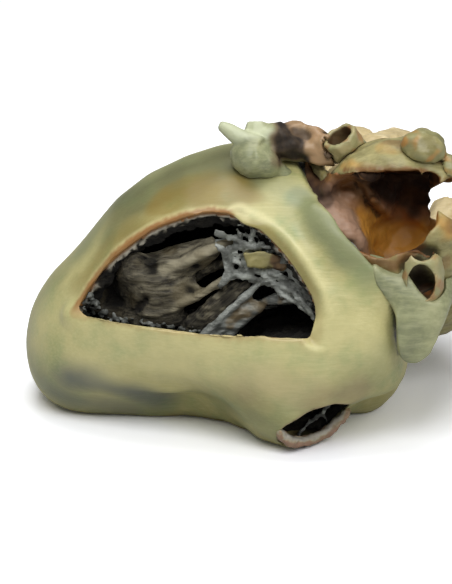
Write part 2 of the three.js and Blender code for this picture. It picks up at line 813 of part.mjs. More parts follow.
// Towards the viewer the groove's fat is fuller and covers the left atrium's foot
const frontFat = tube(
  [onBase(-24, -12.5, 51.5), onBase(-16, -17.5, 45.5), onBase(-9, -20, 38), onBase(-2, -21, 31)],
  (t) => 2.4 + 3.1 * Math.sin(Math.PI * t ** 0.8),
  { sides: 12, steps: 7, flatten: 0.85, thin: towardsViewer, rounded: true },
);
add("coronary_groove_fat_front", cut(frontFat, ...besideGroove), colours.fat);

// Inside the left ventricle
const leftClear = leftHollow(seatGap);
const papillaries = {
  upper: {
    points: [V(-37, 3, 22), V(-25, -3, 28.5), V(-12, -6, 36), V(-2, -7.5, 41)],
    radius: (t) => 5.6 - 3.4 * t ** 2,
  },
  lower: {
    points: [V(-38, 8, 9), V(-28, 4, 13), V(-15, -2, 18.5), V(-4, -6.5, 24.5)],
    radius: (t) => 4.8 - 2.8 * t ** 2,
  },
};
for (const [name, { points, radius }] of Object.entries(papillaries)) {
  const body = tube(points, radius, { sides: 12, steps: 8, flatten: 0.7, thin: towardsViewer });
  add(`papillary_muscle_${name}`, body.intersect(leftClear), colours.muscle);
}

const rightClear = rightHollow(seatGap);
// The space that a valve's leaflets have: the hollow below it and the hole in the plate
const valveSpace = (valve, hollow) =>
  join(hollow(seatGap, seatGap / 3), ringBore(valve, seatGap, 0, plateTop));
const mitralUp = V(-0.985, 0, -0.1);
const mitralDown = V(-0.93, 0, -0.3);
const intoRight = V(-0.93, 0.02, -0.36);
const leaflets = {
  mitral_leaflet_upper: { valve: valves.mitral, from: 0.25, to: 2.9, length: 23, hang: mitralUp },
  mitral_leaflet_lower: { valve: valves.mitral, from: 3.2, to: 6.2, length: 25, hang: mitralDown },
  tricuspid_leaflet_front: { valve: valves.tricuspid, from: 2.3, to: 4.1, length: 7, hang: intoRight },
  tricuspid_leaflet_top: { valve: valves.tricuspid, from: 0.4, to: 2.1, length: 7, hang: intoRight },
  tricuspid_leaflet_bottom: { valve: valves.tricuspid, from: 4.3, to: 6.5, length: 7, hang: intoRight },
};
for (const [name, leaflet] of Object.entries(leaflets)) {
  leaflet.surface = leafletSurface({ ...leaflet, pinch: 0.25 });
  const hollow = leaflet.valve === valves.mitral ? leftHollow : rightHollow;
  const body = sheet(leaflet.surface, leafletThickness, 6, 3);
  add(name, body.intersect(valveSpace(leaflet.valve, hollow)), colours.fibre);
}
const cuspSpread = (2 * Math.PI) / 3;
for (const [name, valve, hollow] of [
  ["aortic", valves.aortic, leftHollow],
  ["pulmonary", valves.pulmonary, rightHollow],
]) {
  const parting = (seatGap + cuspThickness) / 2 / valve.halfWidth;
  for (let i = 0; i < 3; i++) {
    const from = i * cuspSpread + 0.5;
    const surface = cuspSurface(valve, from + parting, from + cuspSpread - parting);
    const body = sheet(surface, cuspThickness, 4, 2).intersect(valveSpace(valve, hollow));
    add(`${name}_cusp_${i + 1}`, body, colours.fibre);
  }
}

// Inside the right ventricle: a papillary muscle and the band that crosses its hollow
const rightPapillary = {
  points: [V(2, -6, 0), V(8, 0, 6), V(15, 7, 12), V(21, 12.5, 17.5)],
  radius: (t) => 3.6 - 2 * t,
};
add(
  "papillary_muscle_right",
  tube(rightPapillary.points, rightPapillary.radius, { sides: 10, steps: 5 }).intersect(rightClear),
  colours.rightMuscle,
);
const moderatorBand = tube([V(22, -14, 22), V(20, -13, 10), V(16, -13, -3)], () => 1.5, { sides: 8, steps: 4 });
add("moderator_band", moderatorBand.intersect(rightClear), colours.rightMuscle);

// Chordae: a fan of strands from a muscle's tip to the free edges of the leaflets. Each fan's
// root sits on the tip.
const strandRadius = 0.5;
const stemRadius = 1.7;
const stemLength = 2.2;
function chordae(muscle, ends) {
  const tip = muscle[muscle.length - 1];
  const ahead = tip.clone().sub(muscle[muscle.length - 2]).normalize();
  const root = tip.clone().addScaledVector(ahead, seatGap);
  const fork = tip.clone().addScaledVector(ahead, seatGap + stemLength);
  const stem = tube([root, fork], (t) => stemRadius * (1 - 0.4 * t), { sides: 8, steps: 1 });
  const strands = ends.map(({ surface, share }) => {
    const edge = surface(share, 1);
    const clear = edge.clone().sub(surface(share, 0.9)).setLength(seatGap + strandRadius * 1.4);
    const end = edge.clone().add(clear);
    const start = fork.clone().addScaledVector(ahead, -1);
    const middle = start.clone().lerp(end, 0.5).addScaledVector(ahead, 1);
    return tube([start, middle, end], () => strandRadius, { sides: 5, steps: 2 });
  });
  const nearLeaflets = ends.map(({ surface }) => sheet(surface, leafletThickness + 2 * seatGap, 6, 3));
  return cut(join(stem, ...strands), ...nearLeaflets);
}
const attached = (name, ...shares) => shares.map((share) => ({ surface: leaflets[name].surface, share }));
const fans = {
  chordae_upper: {
    muscle: papillaries.upper.points,
    ends: attached("mitral_leaflet_upper", 0.3, 0.45, 0.6, 0.8),
  },
  chordae_lower: {
    muscle: papillaries.lower.points,
    ends: attached("mitral_leaflet_lower", 0.2, 0.4, 0.55, 0.7),
  },
  chordae_right: {
    muscle: rightPapillary.points,
    ends: [
      ...attached("tricuspid_leaflet_front", 0.5),
      ...attached("tricuspid_leaflet_top", 0.45),
      ...attached("tricuspid_leaflet_bottom", 0.5),
    ],
  },
};
for (const [name, { muscle, ends }] of Object.entries(fans)) add(name, chordae(muscle, ends), colours.fibre);

// The origin lies under the middle of the heart's box, on the table
const box = new THREE.Box3().setFromObject(heart);
const middle = box.getCenter(V(0, 0, 0));
heart.position.set(-middle.x, -middle.y, -box.min.z);

export default heart;
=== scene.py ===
import math

import bmesh
import bpy
import numpy as np
from mathutils import Matrix, Vector, noise
from mathutils.bvhtree import BVHTree
from mathutils.kdtree import KDTree


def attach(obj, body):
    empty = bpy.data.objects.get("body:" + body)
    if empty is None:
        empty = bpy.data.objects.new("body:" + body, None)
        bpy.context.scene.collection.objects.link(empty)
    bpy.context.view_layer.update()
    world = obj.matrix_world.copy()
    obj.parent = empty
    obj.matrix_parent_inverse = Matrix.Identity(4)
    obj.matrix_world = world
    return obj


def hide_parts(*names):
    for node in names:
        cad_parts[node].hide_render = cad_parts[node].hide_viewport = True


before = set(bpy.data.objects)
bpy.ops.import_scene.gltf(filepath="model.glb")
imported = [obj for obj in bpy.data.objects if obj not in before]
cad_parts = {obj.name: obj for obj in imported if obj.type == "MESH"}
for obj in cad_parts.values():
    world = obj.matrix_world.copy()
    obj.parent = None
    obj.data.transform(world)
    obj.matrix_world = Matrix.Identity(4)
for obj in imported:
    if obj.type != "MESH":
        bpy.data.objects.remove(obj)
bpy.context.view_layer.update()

mm = 0.001
# the heart was drawn about its own origin and then set in the middle of its box
heartShift = Vector((-11.78, -8.62, 0))


def place(x, y, z):
    return (Vector((x, y, z)) + heartShift) * mm


# the camera comes first, because some pieces are placed along its lines of sight
cameraSettings = {"target": (0, 0, 27.4), "elevation": 22, "distance": 550, "lens": 154.1, "sensor": 36}
# the picture's width and height; its points are counted in pixels from the top left corner
pictureSize = (452, 584)


def makeCamera(settings):
    data = bpy.data.cameras.new("photo_camera")
    data.lens = settings["lens"]
    data.sensor_width = settings["sensor"]
    camera = bpy.data.objects.new("photo_camera", data)
    bpy.context.scene.collection.objects.link(camera)
    turn = Matrix.Rotation(math.radians(90 - settings["elevation"]), 4, "X")
    away = turn.to_3x3() @ Vector((0, 0, settings["distance"] * mm))
    camera.matrix_world = Matrix.Translation(place(*settings["target"]) + away) @ turn
    bpy.context.scene.camera = camera
    return camera


camera = makeCamera(cameraSettings)


# direction from the camera through a point of the picture
def sightLine(across, down):
    width, height = pictureSize
    focal = cameraSettings["lens"] / cameraSettings["sensor"] * height
    line = Vector(((across - width / 2) / focal, (height / 2 - down) / focal, -1))
    return camera.matrix_world.to_3x3() @ line


# the point on that line of sight at a given distance behind the heart's own middle plane
def atDepth(across, down, depth):
    line = sightLine(across, down)
    start = camera.matrix_world.translation
    wanted = (depth + heartShift.y) * mm
    return start + line * ((wanted - start.y) / line.y)


def deselectAll():
    bpy.ops.object.select_all(action="DESELECT")


def makeActive(piece):
    deselectAll()
    piece.select_set(True)
    bpy.context.view_layer.objects.active = piece


def useModifier(piece, kind, **settings):
    makeActive(piece)
    modifier = piece.modifiers.new(kind.title(), kind)
    for key, value in settings.items():
        setattr(modifier, key, value)
    bpy.ops.object.modifier_apply(modifier=modifier.name)


def pointsOf(piece):
    points = np.empty(len(piece.data.vertices) * 3)
    piece.data.vertices.foreach_get("co", points)
    return points.reshape(-1, 3)


def setPoints(piece, points):
    piece.data.vertices.foreach_set("co", np.ascontiguousarray(points).ravel())
    piece.data.update()


def normalsOf(piece):
    normals = np.empty(len(piece.data.vertices) * 3)
    piece.data.vertices.foreach_get("normal", normals)
    return normals.reshape(-1, 3)


# how strongly each tint of a piece's material shows: one share, or one for each point
def tint(piece, **shares):
    for name, share in shares.items():
        values = np.broadcast_to(np.asarray(share, dtype=np.float32), len(piece.data.vertices))
        attribute = piece.data.attributes.get(name) or piece.data.attributes.new(name, "FLOAT", "POINT")
        attribute.data.foreach_set("value", np.ascontiguousarray(values))


# a merged copy of a CAD node, ready to be worked on
def copyOf(node, name):
    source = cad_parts[node]
    piece = bpy.data.objects.new(name, source.data.copy())
    bpy.context.scene.collection.objects.link(piece)
    piece.data.materials.clear()
    makeActive(piece)
    bpy.ops.object.mode_set(mode="EDIT")
    bpy.ops.mesh.select_all(action="SELECT")
    bpy.ops.mesh.remove_doubles(threshold=0.01 * mm)
    bpy.ops.object.mode_set(mode="OBJECT")
    return piece


# points every half millimetre along a mesh's sharp edges
def sharpPoints(piece, sharpness=50):
    found = []
    shape = bmesh.new()
    shape.from_mesh(piece.data)
    for edge in shape.edges:
        if edge.is_manifold and edge.calc_face_angle(0) > math.radians(sharpness):
            start, end = (vertex.co for vertex in edge.verts)
            steps = max(1, round((end - start).length / (0.5 * mm)))
            found += [start.lerp(end, step / steps) for step in range(steps + 1)]
    shape.free()
    return found


# distance in millimetres from each point to the nearest of a set
def distancesTo(found, points):
    if not len(found):
        return np.full(len(points), 99.0)
    tree = KDTree(len(found))
    for index, point in enumerate(found):
        tree.insert(point, index)
    tree.balance()
    return np.array([tree.find(point)[2] for point in points]) / mm


# distance in millimetres from each point to one spot
def awayFrom(spot, points):
    return np.linalg.norm(points - np.array(spot), axis=1) / mm


def cloudiness(points, size, seed=0, stretch=(1, 1, 1)):
    offset = Vector((seed * 13.7, seed * 7.1, seed * 3.3))
    scaled = points / np.array(stretch) / (size * mm)
    return np.array([noise.noise(Vector(point) + offset) for point in scaled])


# smooth between two limits, 0 to 1
def ease(values, low, high):
    share = np.clip((values - low) / (high - low), 0, 1)
    return share * share * (3 - 2 * share)


# 1 at nothing, falling off like a bell of this width
def bell(away, width):
    return np.exp(-(away / width) ** 2)


# cloudy patches, 0 to 1
def patches(points, size, seed, low, high, stretch=(1, 1, 1)):
    return ease(cloudiness(points, size, seed, stretch), low, high)


def treeOf(piece):
    return BVHTree.FromPolygons([vertex.co for vertex in piece.data.vertices],
                                [face.vertices for face in piece.data.polygons])


# the first point of a mesh that the camera meets at a point of the picture
def seenOn(tree, across, down):
    return tree.ray_cast(camera.matrix_world.translation, sightLine(across, down))[0]


# a line on a mesh's surface, followed by points of the picture
def lineOn(tree, *spots):
    met = [seenOn(tree, *spot) for spot in spots]
    met = [point for point in met if point]
    found = []
    for start, end in zip(met, met[1:]):
        steps = max(1, round((end - start).length / mm))
        found += [start.lerp(end, step / steps) for step in range(steps + 1)]
    return found or met


# 1 near a line, fading to 0 at its reach, with a ragged border
def zone(points, line, full, reach, ragged=0.0, size=4, seed=0):
    away = distancesTo(line, points)
    if ragged:
        away = away + ragged * cloudiness(points, size, seed)
    return 1 - ease(away, full, reach)


# the strongest of several zones along lines of the picture; each row is a share, the line's
# points, and then what zone asks for: full, reach, and its border's raggedness, size and seed
def zones(points, tree, rows):
    return np.maximum.reduce([share * zone(points, lineOn(tree, *line), *border)
                              for share, line, *border in rows])


# tints from a table of such rows, with any further shares of the same names
def tintZones(piece, points, tree, table, **further):
    for name, rows in table.items():
        tint(piece, **{name: np.maximum.reduce([zones(points, tree, rows)] + further.get(name, []))})


# materials

# an sRGB hex colour in the linear values that Blender's sockets take
def colour(code):
    parts = [int(code[start:start + 2], 16) / 255 for start in (1, 3, 5)]
    return [part / 12.92 if part <= 0.04045 else ((part + 0.055) / 1.055) ** 2.4 for part in parts] + [1]


def addNode(tree, kind, inputs=None, stops=None, **settings):
    node = tree.nodes.new("ShaderNode" + kind)
    for key, value in settings.items():
        setattr(node, key, value)
    for key, value in (inputs or {}).items():
        if isinstance(value, bpy.types.NodeSocket):
            tree.links.new(value, node.inputs[key])
        else:
            node.inputs[key].default_value = value
    for index, (position, code) in enumerate(stops or []):
        elements = node.color_ramp.elements
        element = elements[index] if index < len(elements) else elements.new(position)
        element.position = position
        element.color = colour(code)
    return node


# cured or dried animal tissue: mottled, with fibres that run along the heart,
# and tints where a piece's attributes ask for them
def makeTissue(name, look):
    material = bpy.data.materials.new(name)
    material.use_nodes = True
    tree = material.node_tree
    shader = tree.nodes["Principled BSDF"]
    where = addNode(tree, "TexCoord").outputs["Object"]

    def speckled(spot, size, detail, **more):
        inputs = {"Vector": spot, "Scale": 1 / (size * mm), "Detail": detail, **more}
        return addNode(tree, "TexNoise", inputs).outputs["Fac"]

    def ranged(value, *limits):
        names = ("From Min", "From Max", "To Min", "To Max")
        return addNode(tree, "MapRange", {"Value": value, **dict(zip(names, limits))}).outputs["Result"]

    def times(first, second, **settings):
        return addNode(tree, "Math", {0: first, 1: second}, operation="MULTIPLY", **settings).outputs[0]

    def mixed(tone, share, code):
        return addNode(tree, "Mix", {0: share, 6: tone, 7: colour(code)}, data_type="RGBA").outputs[2]

    mottle = speckled(where, look["mottle"], 4.0, Roughness=0.6)
    turned = addNode(tree, "Mapping", {"Vector": where, "Rotation": look.get("lie", (0, 0, 0)),
                                       "Scale": (look["fibreLength"], 1, 1)}, vector_type="TEXTURE")
    fibres = speckled(turned.outputs["Vector"], look["fibre"], 3.0, Roughness=0.65, Distortion=0.25)
    grain = speckled(where, look["grain"], 2.0)
    tone = addNode(tree, "ValToRGB", {"Fac": mottle}, look["tones"]).outputs["Color"]
    tone = mixed(tone, times(ranged(fibres, 0.42, 0.72), look["fibreShare"]), look["fibreTone"])
    # the mottling breaks up the tints
    broken = ranged(mottle, 0.25, 0.55, 0.75, 1.0)
    for attribute, code, most in look["tints"]:
        read = addNode(tree, "Attribute", attribute_name=attribute).outputs["Fac"]
        tone = mixed(tone, times(times(read, broken), most, use_clamp=True), code)
    tree.links.new(tone, shader.inputs["Base Color"])
    # where a piece is painted dark, as shade in deep hollows or as its darker tone, it is duller too
    gloss = ranged(mottle, 0.3, 0.7, look["roughness"] - 0.08, look["roughness"] + 0.1)
    hollow = addNode(tree, "Attribute", attribute_name="deep").outputs["Fac"]
    dull = addNode(tree, "Math", {0: hollow, 1: 0.4, 2: gloss}, operation="MULTIPLY_ADD", use_clamp=True)
    tree.links.new(dull.outputs[0], shader.inputs["Roughness"])
    raised = addNode(tree, "Bump", {"Height": fibres, "Strength": 1.0, "Distance": look["fibreHeight"] * mm})
    raised = addNode(tree, "Bump", {"Height": grain, "Strength": 1.0, "Distance": look["grainHeight"] * mm,
                                    "Normal": raised.outputs["Normal"]})
    tree.links.new(raised.outputs["Normal"], shader.inputs["Normal"])
    shader.inputs["IOR"].default_value = 1.45
    shader.inputs["Coat Weight"].default_value = look.get("coat", 0.0)
    shader.inputs["Coat Roughness"].default_value = 0.35
    return material


# cured epicardium, rubbed smooth: satin and waxy, cream to olive, with faint muscle fibres under it
curedEpicardium = makeTissue("cured_epicardium_satin", {
    # the fibres are a tenth of a millimetre wide, and drawn wider to show
    "mottle": 9, "fibre": 0.5, "fibreLength": 11, "grain": 0.8,
    "tones": [(0.3, "#949D66"), (0.5, "#B2AC73"), (0.7, "#C5BC81")],
    "fibreTone": "#D3CD9A", "fibreShare": 0.32, "fibreHeight": 0.06, "grainHeight": 0.02,
    # besides the tissue's own colours some tints paint light and shade: cream paints highlights as well as
    # fat, the ochre stain also paints the shaded slope of the rim's bevel, the olive tint darkens the top and
    # paints shade low down, and the near-black inside tint paints shade on inner faces, in clefts and in a
    # groove
    "tints": [("green", "#6F7B5B", 0.75), ("olive_and_low_shade", "#5C5D3C", 0.8), ("blue", "#525B5C", 0.85),
              ("stain", "#85702F", 0.75), ("pink", "#8A745C", 0.45), ("cream", "#E0D8A1", 0.8),
              ("browned", "#94602C", 0.9), ("inside", "#120E0B", 0.97), ("rim", "#977663", 0.95),
              ("fringe", "#ACA69C", 0.95)],
    "roughness": 0.42, "coat": 0.15})

# dried heart muscle, torn open: matt grey-brown with pale striations a fraction of a millimetre wide
muscleLook = {
    "mottle": 5, "fibre": 0.6, "fibreLength": 9, "grain": 0.5,
    "tones": [(0.3, "#1D1A15"), (0.5, "#39342A"), (0.72, "#5F5847")],
    "fibreTone": "#9E967C", "fibreShare": 0.52, "fibreHeight": 0.3, "grainHeight": 0.12,
    "tints": [("pale", "#ACA48A", 0.8), ("fringe", "#CBC5B4", 0.9), ("ochre", "#5F5230", 0.6),
              ("browned", "#9A6630", 0.9), ("deep", "#0B0A09", 0.97)],
    "roughness": 0.6}
driedMuscle = makeTissue("dried_heart_muscle", muscleLook)
# the same muscle where its fibres run up to the right
slantedMuscle = makeTissue("dried_heart_muscle_slanted", {**muscleLook, "lie": (0, math.radians(-42), 0)})

# dried fibrous cords and leaflets: whitish grey, dull, with a stringy surface
driedFibre = makeTissue("dried_fibrous_tissue", {
    "mottle": 3, "fibre": 0.4, "fibreLength": 7, "grain": 0.4,
    "tones": [(0.3, "#5D605B"), (0.5, "#878B85"), (0.72, "#AAAEA7")],
    "fibreTone": "#CFD2CB", "fibreShare": 0.55, "fibreHeight": 0.15, "grainHeight": 0.08,
    "tints": [("dull", "#3F403B", 0.85), ("green", "#5F6350", 0.6), ("ochre", "#8F7440", 0.7),
              ("deep", "#15120F", 0.92)],
    "roughness": 0.6})

# atrium wall, thin and stained by blood: satin, pinkish to ochre and brown inside, cream outside
stainedAtrium = makeTissue("blood_stained_atrium_wall", {
    "mottle": 6, "fibre": 1.2, "fibreLength": 3, "grain": 0.7,
    "tones": [(0.3, "#6F6843"), (0.5, "#8B8456"), (0.7, "#A89E6A")],
    "fibreTone": "#CFC590", "fibreShare": 0.3, "fibreHeight": 0.12, "grainHeight": 0.06,
    "tints": [("inner", "#8D5A2E", 0.9), ("pinkish", "#A78771", 0.85), ("ochre", "#D39437", 0.9),
              ("salmon", "#B07A52", 0.85), ("deep", "#1E0F08", 0.95), ("browned", "#7A4A22", 0.8)],
    "roughness": 0.5, "coat": 0.05})

# auricles: a smooth sheet of thin muscle, green-grey and waxy
curedAuricle = makeTissue("cured_auricle_waxy", {
    "mottle": 7, "fibre": 0.9, "fibreLength": 6, "grain": 0.8,
    "tones": [(0.3, "#71765B"), (0.5, "#8B8F6A"), (0.7, "#A7A87F")],
    "fibreTone": "#CFCDA4", "fibreShare": 0.3, "fibreHeight": 0.06, "grainHeight": 0.03,
    "tints": [("pale", "#C9CFAE", 0.85), ("torn", "#A37F5C", 0.9), ("deep", "#0E0805", 0.97)],
    "roughness": 0.42, "coat": 0.15})

# hardened fat: waxy cream with orange stains and small lobules
hardenedFat = makeTissue("hardened_fat_waxy", {
    "mottle": 4, "fibre": 1.6, "fibreLength": 2, "grain": 0.9,
    "tones": [(0.3, "#837A49"), (0.5, "#A3995F"), (0.72, "#C2B67E")],
    "fibreTone": "#E6DDB3", "fibreShare": 0.35, "fibreHeight": 0.15, "grainHeight": 0.08,
    "tints": [("green", "#7F8A66", 0.7), ("dull", "#6E6842", 0.75), ("ochre", "#C07F33", 0.8),
              ("browned", "#5C3F20", 0.9), ("deep", "#2A1C10", 0.9)],
    "roughness": 0.45, "coat": 0.15})

# great vessels: cream outside, brown where they were cut
cutVessel = makeTissue("cured_vessel_wall", {
    "mottle": 6, "fibre": 0.8, "fibreLength": 5, "grain": 0.7,
    "tones": [(0.3, "#A79366"), (0.5, "#C2AE7F"), (0.7, "#D8C79C")],
    "fibreTone": "#E3D6B2", "fibreShare": 0.3, "fibreHeight": 0.1, "grainHeight": 0.05,
    "tints": [("green", "#8E8F63", 0.85), ("inner", "#4A2A16", 0.95), ("browned", "#A0632F", 0.85)],
    "roughness": 0.45, "coat": 0.15})

# what the pieces of each slot are made of
materialOf = {"epicardium": curedEpicardium, "muscle": driedMuscle, "fibrous_tissue": driedFibre,
              "atrium": stainedAtrium, "auricle": curedAuricle, "fat": hardenedFat, "vessel": cutVessel}
print("materials made")


def remesh(piece, voxel):
    useModifier(piece, "REMESH", mode="VOXEL", voxel_size=voxel * mm, use_smooth_shade=True)


def joinTo(piece, others):
    if others:
        makeActive(piece)
        for other in others:
            other.select_set(True)
        bpy.ops.object.join()


# clefts narrower than twice "close" are filled
def fillClefts(piece, look):
    if look.get("close"):
        useModifier(piece, "DISPLACE", strength=look["close"] * mm, mid_level=0)
        remesh(piece, look["voxel"])
        useModifier(piece, "DISPLACE", strength=-look["close"] * mm, mid_level=0)


# smooths a piece where the weights ask for it
def soothe(piece, weights, iterations, least=0.01):
    group = piece.vertex_groups.new(name="soothed")
    for index, weight in enumerate(weights):
        if weight > least:
            group.add([index], weight, "REPLACE")
    useModifier(piece, "SMOOTH", factor=0.5, iterations=iterations, vertex_group="soothed")
    piece.vertex_groups.clear()


# uneven growth; each row of lumps is size and height in millimetres, seed, and any stretch
def addLumps(piece, look):
    points, normals = pointsOf(piece), normalsOf(piece)
    for size, height, seed, *stretch in look.get("lumps", []):
        points = points + normals * (height * mm * cloudiness(points, size, seed, *stretch))[:, None]
    setPoints(piece, points)


# where softening begins and where it is full, in millimetres from a sharp edge
softBorder = (0.5, 3.0)


# the form of one or more CAD nodes, with anything added to it, remeshed finely as one
# surface and softened away from its cut edges
def dress(nodes, slot, look, added=(), cutter=None):
    nodes = [nodes] if isinstance(nodes, str) else nodes
    copies = [copyOf(node, node + "_surface") for node in nodes]
    piece = copies[0]
    edges = sharpPoints(piece)
    if "keepEdge" in look:
        edges = [point for point in edges if look["keepEdge"](point)]
    joinTo(piece, copies[1:] + list(added))
    if cutter:
        useModifier(piece, "BOOLEAN", object=cutter, operation="DIFFERENCE", solver="EXACT")
    remesh(piece, look["voxel"])
    fillClefts(piece, look)
    soothe(piece, ease(distancesTo(edges, pointsOf(piece)), *softBorder), look["soften"], 0)
    useModifier(piece, "SMOOTH", factor=0.5, iterations=look.get("soothe", 2))
    addLumps(piece, look)
    piece.data.materials.append(materialOf[slot])
    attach(piece, "root")
    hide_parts(*nodes)
    return piece


# a round cord through points of the picture, each with a depth and a radius in millimetres
def cordAlong(spots):
    bpy.ops.curve.primitive_nurbs_path_add()
    cord = bpy.context.object
    spline = cord.data.splines[0]
    spline.points.add(max(0, len(spots) - len(spline.points)))
    for index, point in enumerate(spline.points):
        across, down, depth, radius = spots[min(index, len(spots) - 1)]
        point.co = (*atDepth(across, down, depth), 1)
        point.radius = radius
    spline.use_endpoint_u = True
    spline.order_u = 3
    cord.location = (0, 0, 0)
    cord.data.dimensions = "3D"
    cord.data.resolution_u = 8
    cord.data.bevel_depth = mm
    cord.data.bevel_resolution = 3
    cord.data.use_fill_caps = True
    makeActive(cord)
    bpy.ops.object.convert(target="MESH")
    return bpy.context.object


def cordsAlong(rows):
    return [cordAlong(spots) for spots in rows]


# a new piece of its own from such cords or sheets
def finishPiece(parts, name, slot, look, material=None):
    piece = parts[0]
    joinTo(piece, parts[1:])
    piece.name = name
    piece.data.name = name
    piece.data.materials.clear()
    remesh(piece, look["voxel"])
    fillClefts(piece, look)
    useModifier(piece, "SMOOTH", factor=0.5, iterations=look["soothe"])
    addLumps(piece, look)
    piece.data.materials.append(material or materialOf[slot])
    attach(piece, "root")
    return piece


# skin over both ventricles, with the fat that lies flush in the groove at its edge
skinLook = {"voxel": 0.62, "soften": 40, "close": 1.6, "lumps": [(14, 0.35, 1)],
            "besideRim": [(249, 219), (277, 240), (298, 265), (313, 292), (325, 318), (328, 333)],
            "topRim": [(84, 284), (110, 250), (138, 230), (172, 216), (206, 208), (232, 209)]}
skinCad = copyOf("epicardium", "skin_guide")
skinTree = treeOf(skinCad)
besideRim = lineOn(skinTree, *skinLook["besideRim"])
topRim = lineOn(skinTree, *skinLook["topRim"])
allSharp = sharpPoints(skinCad)
bpy.data.objects.remove(skinCad)
rightRim = [point for point in allSharp if min((point - other).length for other in besideRim) < 2.4 * mm]
bandFat = copyOf("coronary_groove_fat_front", "fat_guide")
fatTree = treeOf(bandFat)
bpy.data.objects.remove(bandFat)


# sharp edges stay sharp, but not where the rim rolls or where the fat lies flush
def notRolled(point):
    if fatTree.find_nearest(point)[3] < 5 * mm:
        return False
    return min((point - other).length for other in rightRim) > 3 * mm


skinLook["keepEdge"] = notRolled
# the waist under the window is filled out where the skin folds sharply
waistFold = {"middle": (-11.5, -15.2, 12.0), "radii": (6.5, 2.6, 2.2),
             "soothed": (-11, -17.5, 13), "soothedOver": (6, 13)}
bpy.ops.mesh.primitive_uv_sphere_add(segments=24, ring_count=12, location=place(*waistFold["middle"]))
waistFill = bpy.context.object
waistFill.scale = [radius * mm for radius in waistFold["radii"]]
makeActive(waistFill)
bpy.ops.object.transform_apply(location=True, rotation=True, scale=True)
skin = dress(["epicardium", "coronary_groove_fat_front"], "epicardium", skinLook, [waistFill])
print("skin dressed", len(skin.data.polygons))

# from the large window's plane into the hollow
inward = Vector((0.2, 0.72, -0.66)).normalized()
windowMiddle = place(-6, -22, 39)
# small moves of the skin and the wall under it, to the windows' real corners:
# across, down, depth, then millimetres right and up, and the reach
tugs = [(324, 331, None, -1.9, 0.2, 6.0), (321, 312, None, -0.9, 0.0, 4.5), (72, 313, None, -1.3, -0.1, 4.5),
        (248, 218, None, -0.5, -0.8, 4.0), (356, 422, -13, 0.0, 3.4, 11.0), (380, 412, -13, 0.0, 3.0, 10.0),
        (340, 405, None, 0.0, -0.5, 4.0)]


def tug(piece):
    points = pointsOf(piece)
    for across, down, depth, right, up, reach in tugs:
        spot = seenOn(skinTree, across, down) if depth is None else atDepth(across, down, depth)
        share = ease(1 - awayFrom(spot, points) / reach, 0, 1)
        move = camera.matrix_world.to_3x3() @ Vector((right, up, 0)) * mm
        points = points + np.array(move) * share[:, None]
    setPoints(piece, points)


# the rim of the large window rolls into the hollow on its right side, behind a low lip, and
# less so near the guide line's two ends; all in millimetres but for the share at the end
rollLook = {"inward": 2.0, "reach": 4.0, "lip": 0.5, "lipAt": 2.8, "lipWidth": 1.0,
            "start": (0, 9), "end": (1, 5), "endShare": 0.35}


def rollRim(piece, look):
    points = pointsOf(piece)
    away = distancesTo(rightRim, points)
    begun = ease(awayFrom(besideRim[0], points), *look["start"])
    ended = ease(awayFrom(besideRim[-1], points), *look["end"])
    begun = begun * (look["endShare"] + (1 - look["endShare"]) * ended)
    move = look["inward"] * np.clip(1 - away / look["reach"], 0, 1) ** 2
    move = move - look["lip"] * bell(away - look["lipAt"], look["lipWidth"])
    setPoints(piece, points + np.array(inward) * (begun * move * mm)[:, None])


rimAway = distancesTo(rightRim, pointsOf(skin))
rollRim(skin, rollLook)
tug(skin)
foldAway = awayFrom(place(*waistFold["soothed"]), pointsOf(skin))
soothe(skin, 1 - ease(foldAway, *waistFold["soothedOver"]), 70)
soothe(skin, (1 - ease(rimAway, 4.5, 7)) * ease(rimAway, 0.8, 2.2), 6)
# the groove between the ventricles, on the back, with a thin line of fat and a vessel in it
grooveLook = {"line": [(17, 34, 50), (8, 34, 44), (-4, 34, 36), (-17, 32, 28), (-30, 28, 20), (-41, 20, 14)],
              "steps": 12, "waver": 0.7, "radius": 2.2, "depth": 0.7, "vesselRadius": 0.7, "vesselShare": 0.8}
grooveLine = []
for start, end in zip(grooveLook["line"], grooveLook["line"][1:]):
    for step in range(grooveLook["steps"]):
        near = place(*start).lerp(place(*end), step / grooveLook["steps"])
        waver = grooveLook["waver"] * mm * math.sin(0.9 * len(grooveLine))
        grooveLine.append(skinTree.find_nearest(near + Vector((0, waver, 0)))[0])
skinPoints = pointsOf(skin)
grooveAway = distancesTo(grooveLine, skinPoints) + 0.5 * cloudiness(skinPoints, 3, 84)
pressed = bell(grooveAway, grooveLook["radius"])
pressed = pressed - grooveLook["vesselShare"] * bell(grooveAway, grooveLook["vesselRadius"])
setPoints(skin, skinPoints - normalsOf(skin) * (pressed * grooveLook["depth"] * mm)[:, None])
# right of the band's edge the skin falls away into the crevice beside the atrium, and is painted dark there
# as the crevice's shade
fallLook = {"line": [(301, 158), (307, 168), (313, 178), (320, 189), (326, 197)], "border": (1.2, 2.4),
            "depth": 2.2}
skinPoints = pointsOf(skin)
fallsAway = zone(skinPoints, lineOn(skinTree, *fallLook["line"]), *fallLook["border"])
skinPoints = skinPoints + np.array(inward) * (fallLook["depth"] * mm * fallsAway)[:, None]
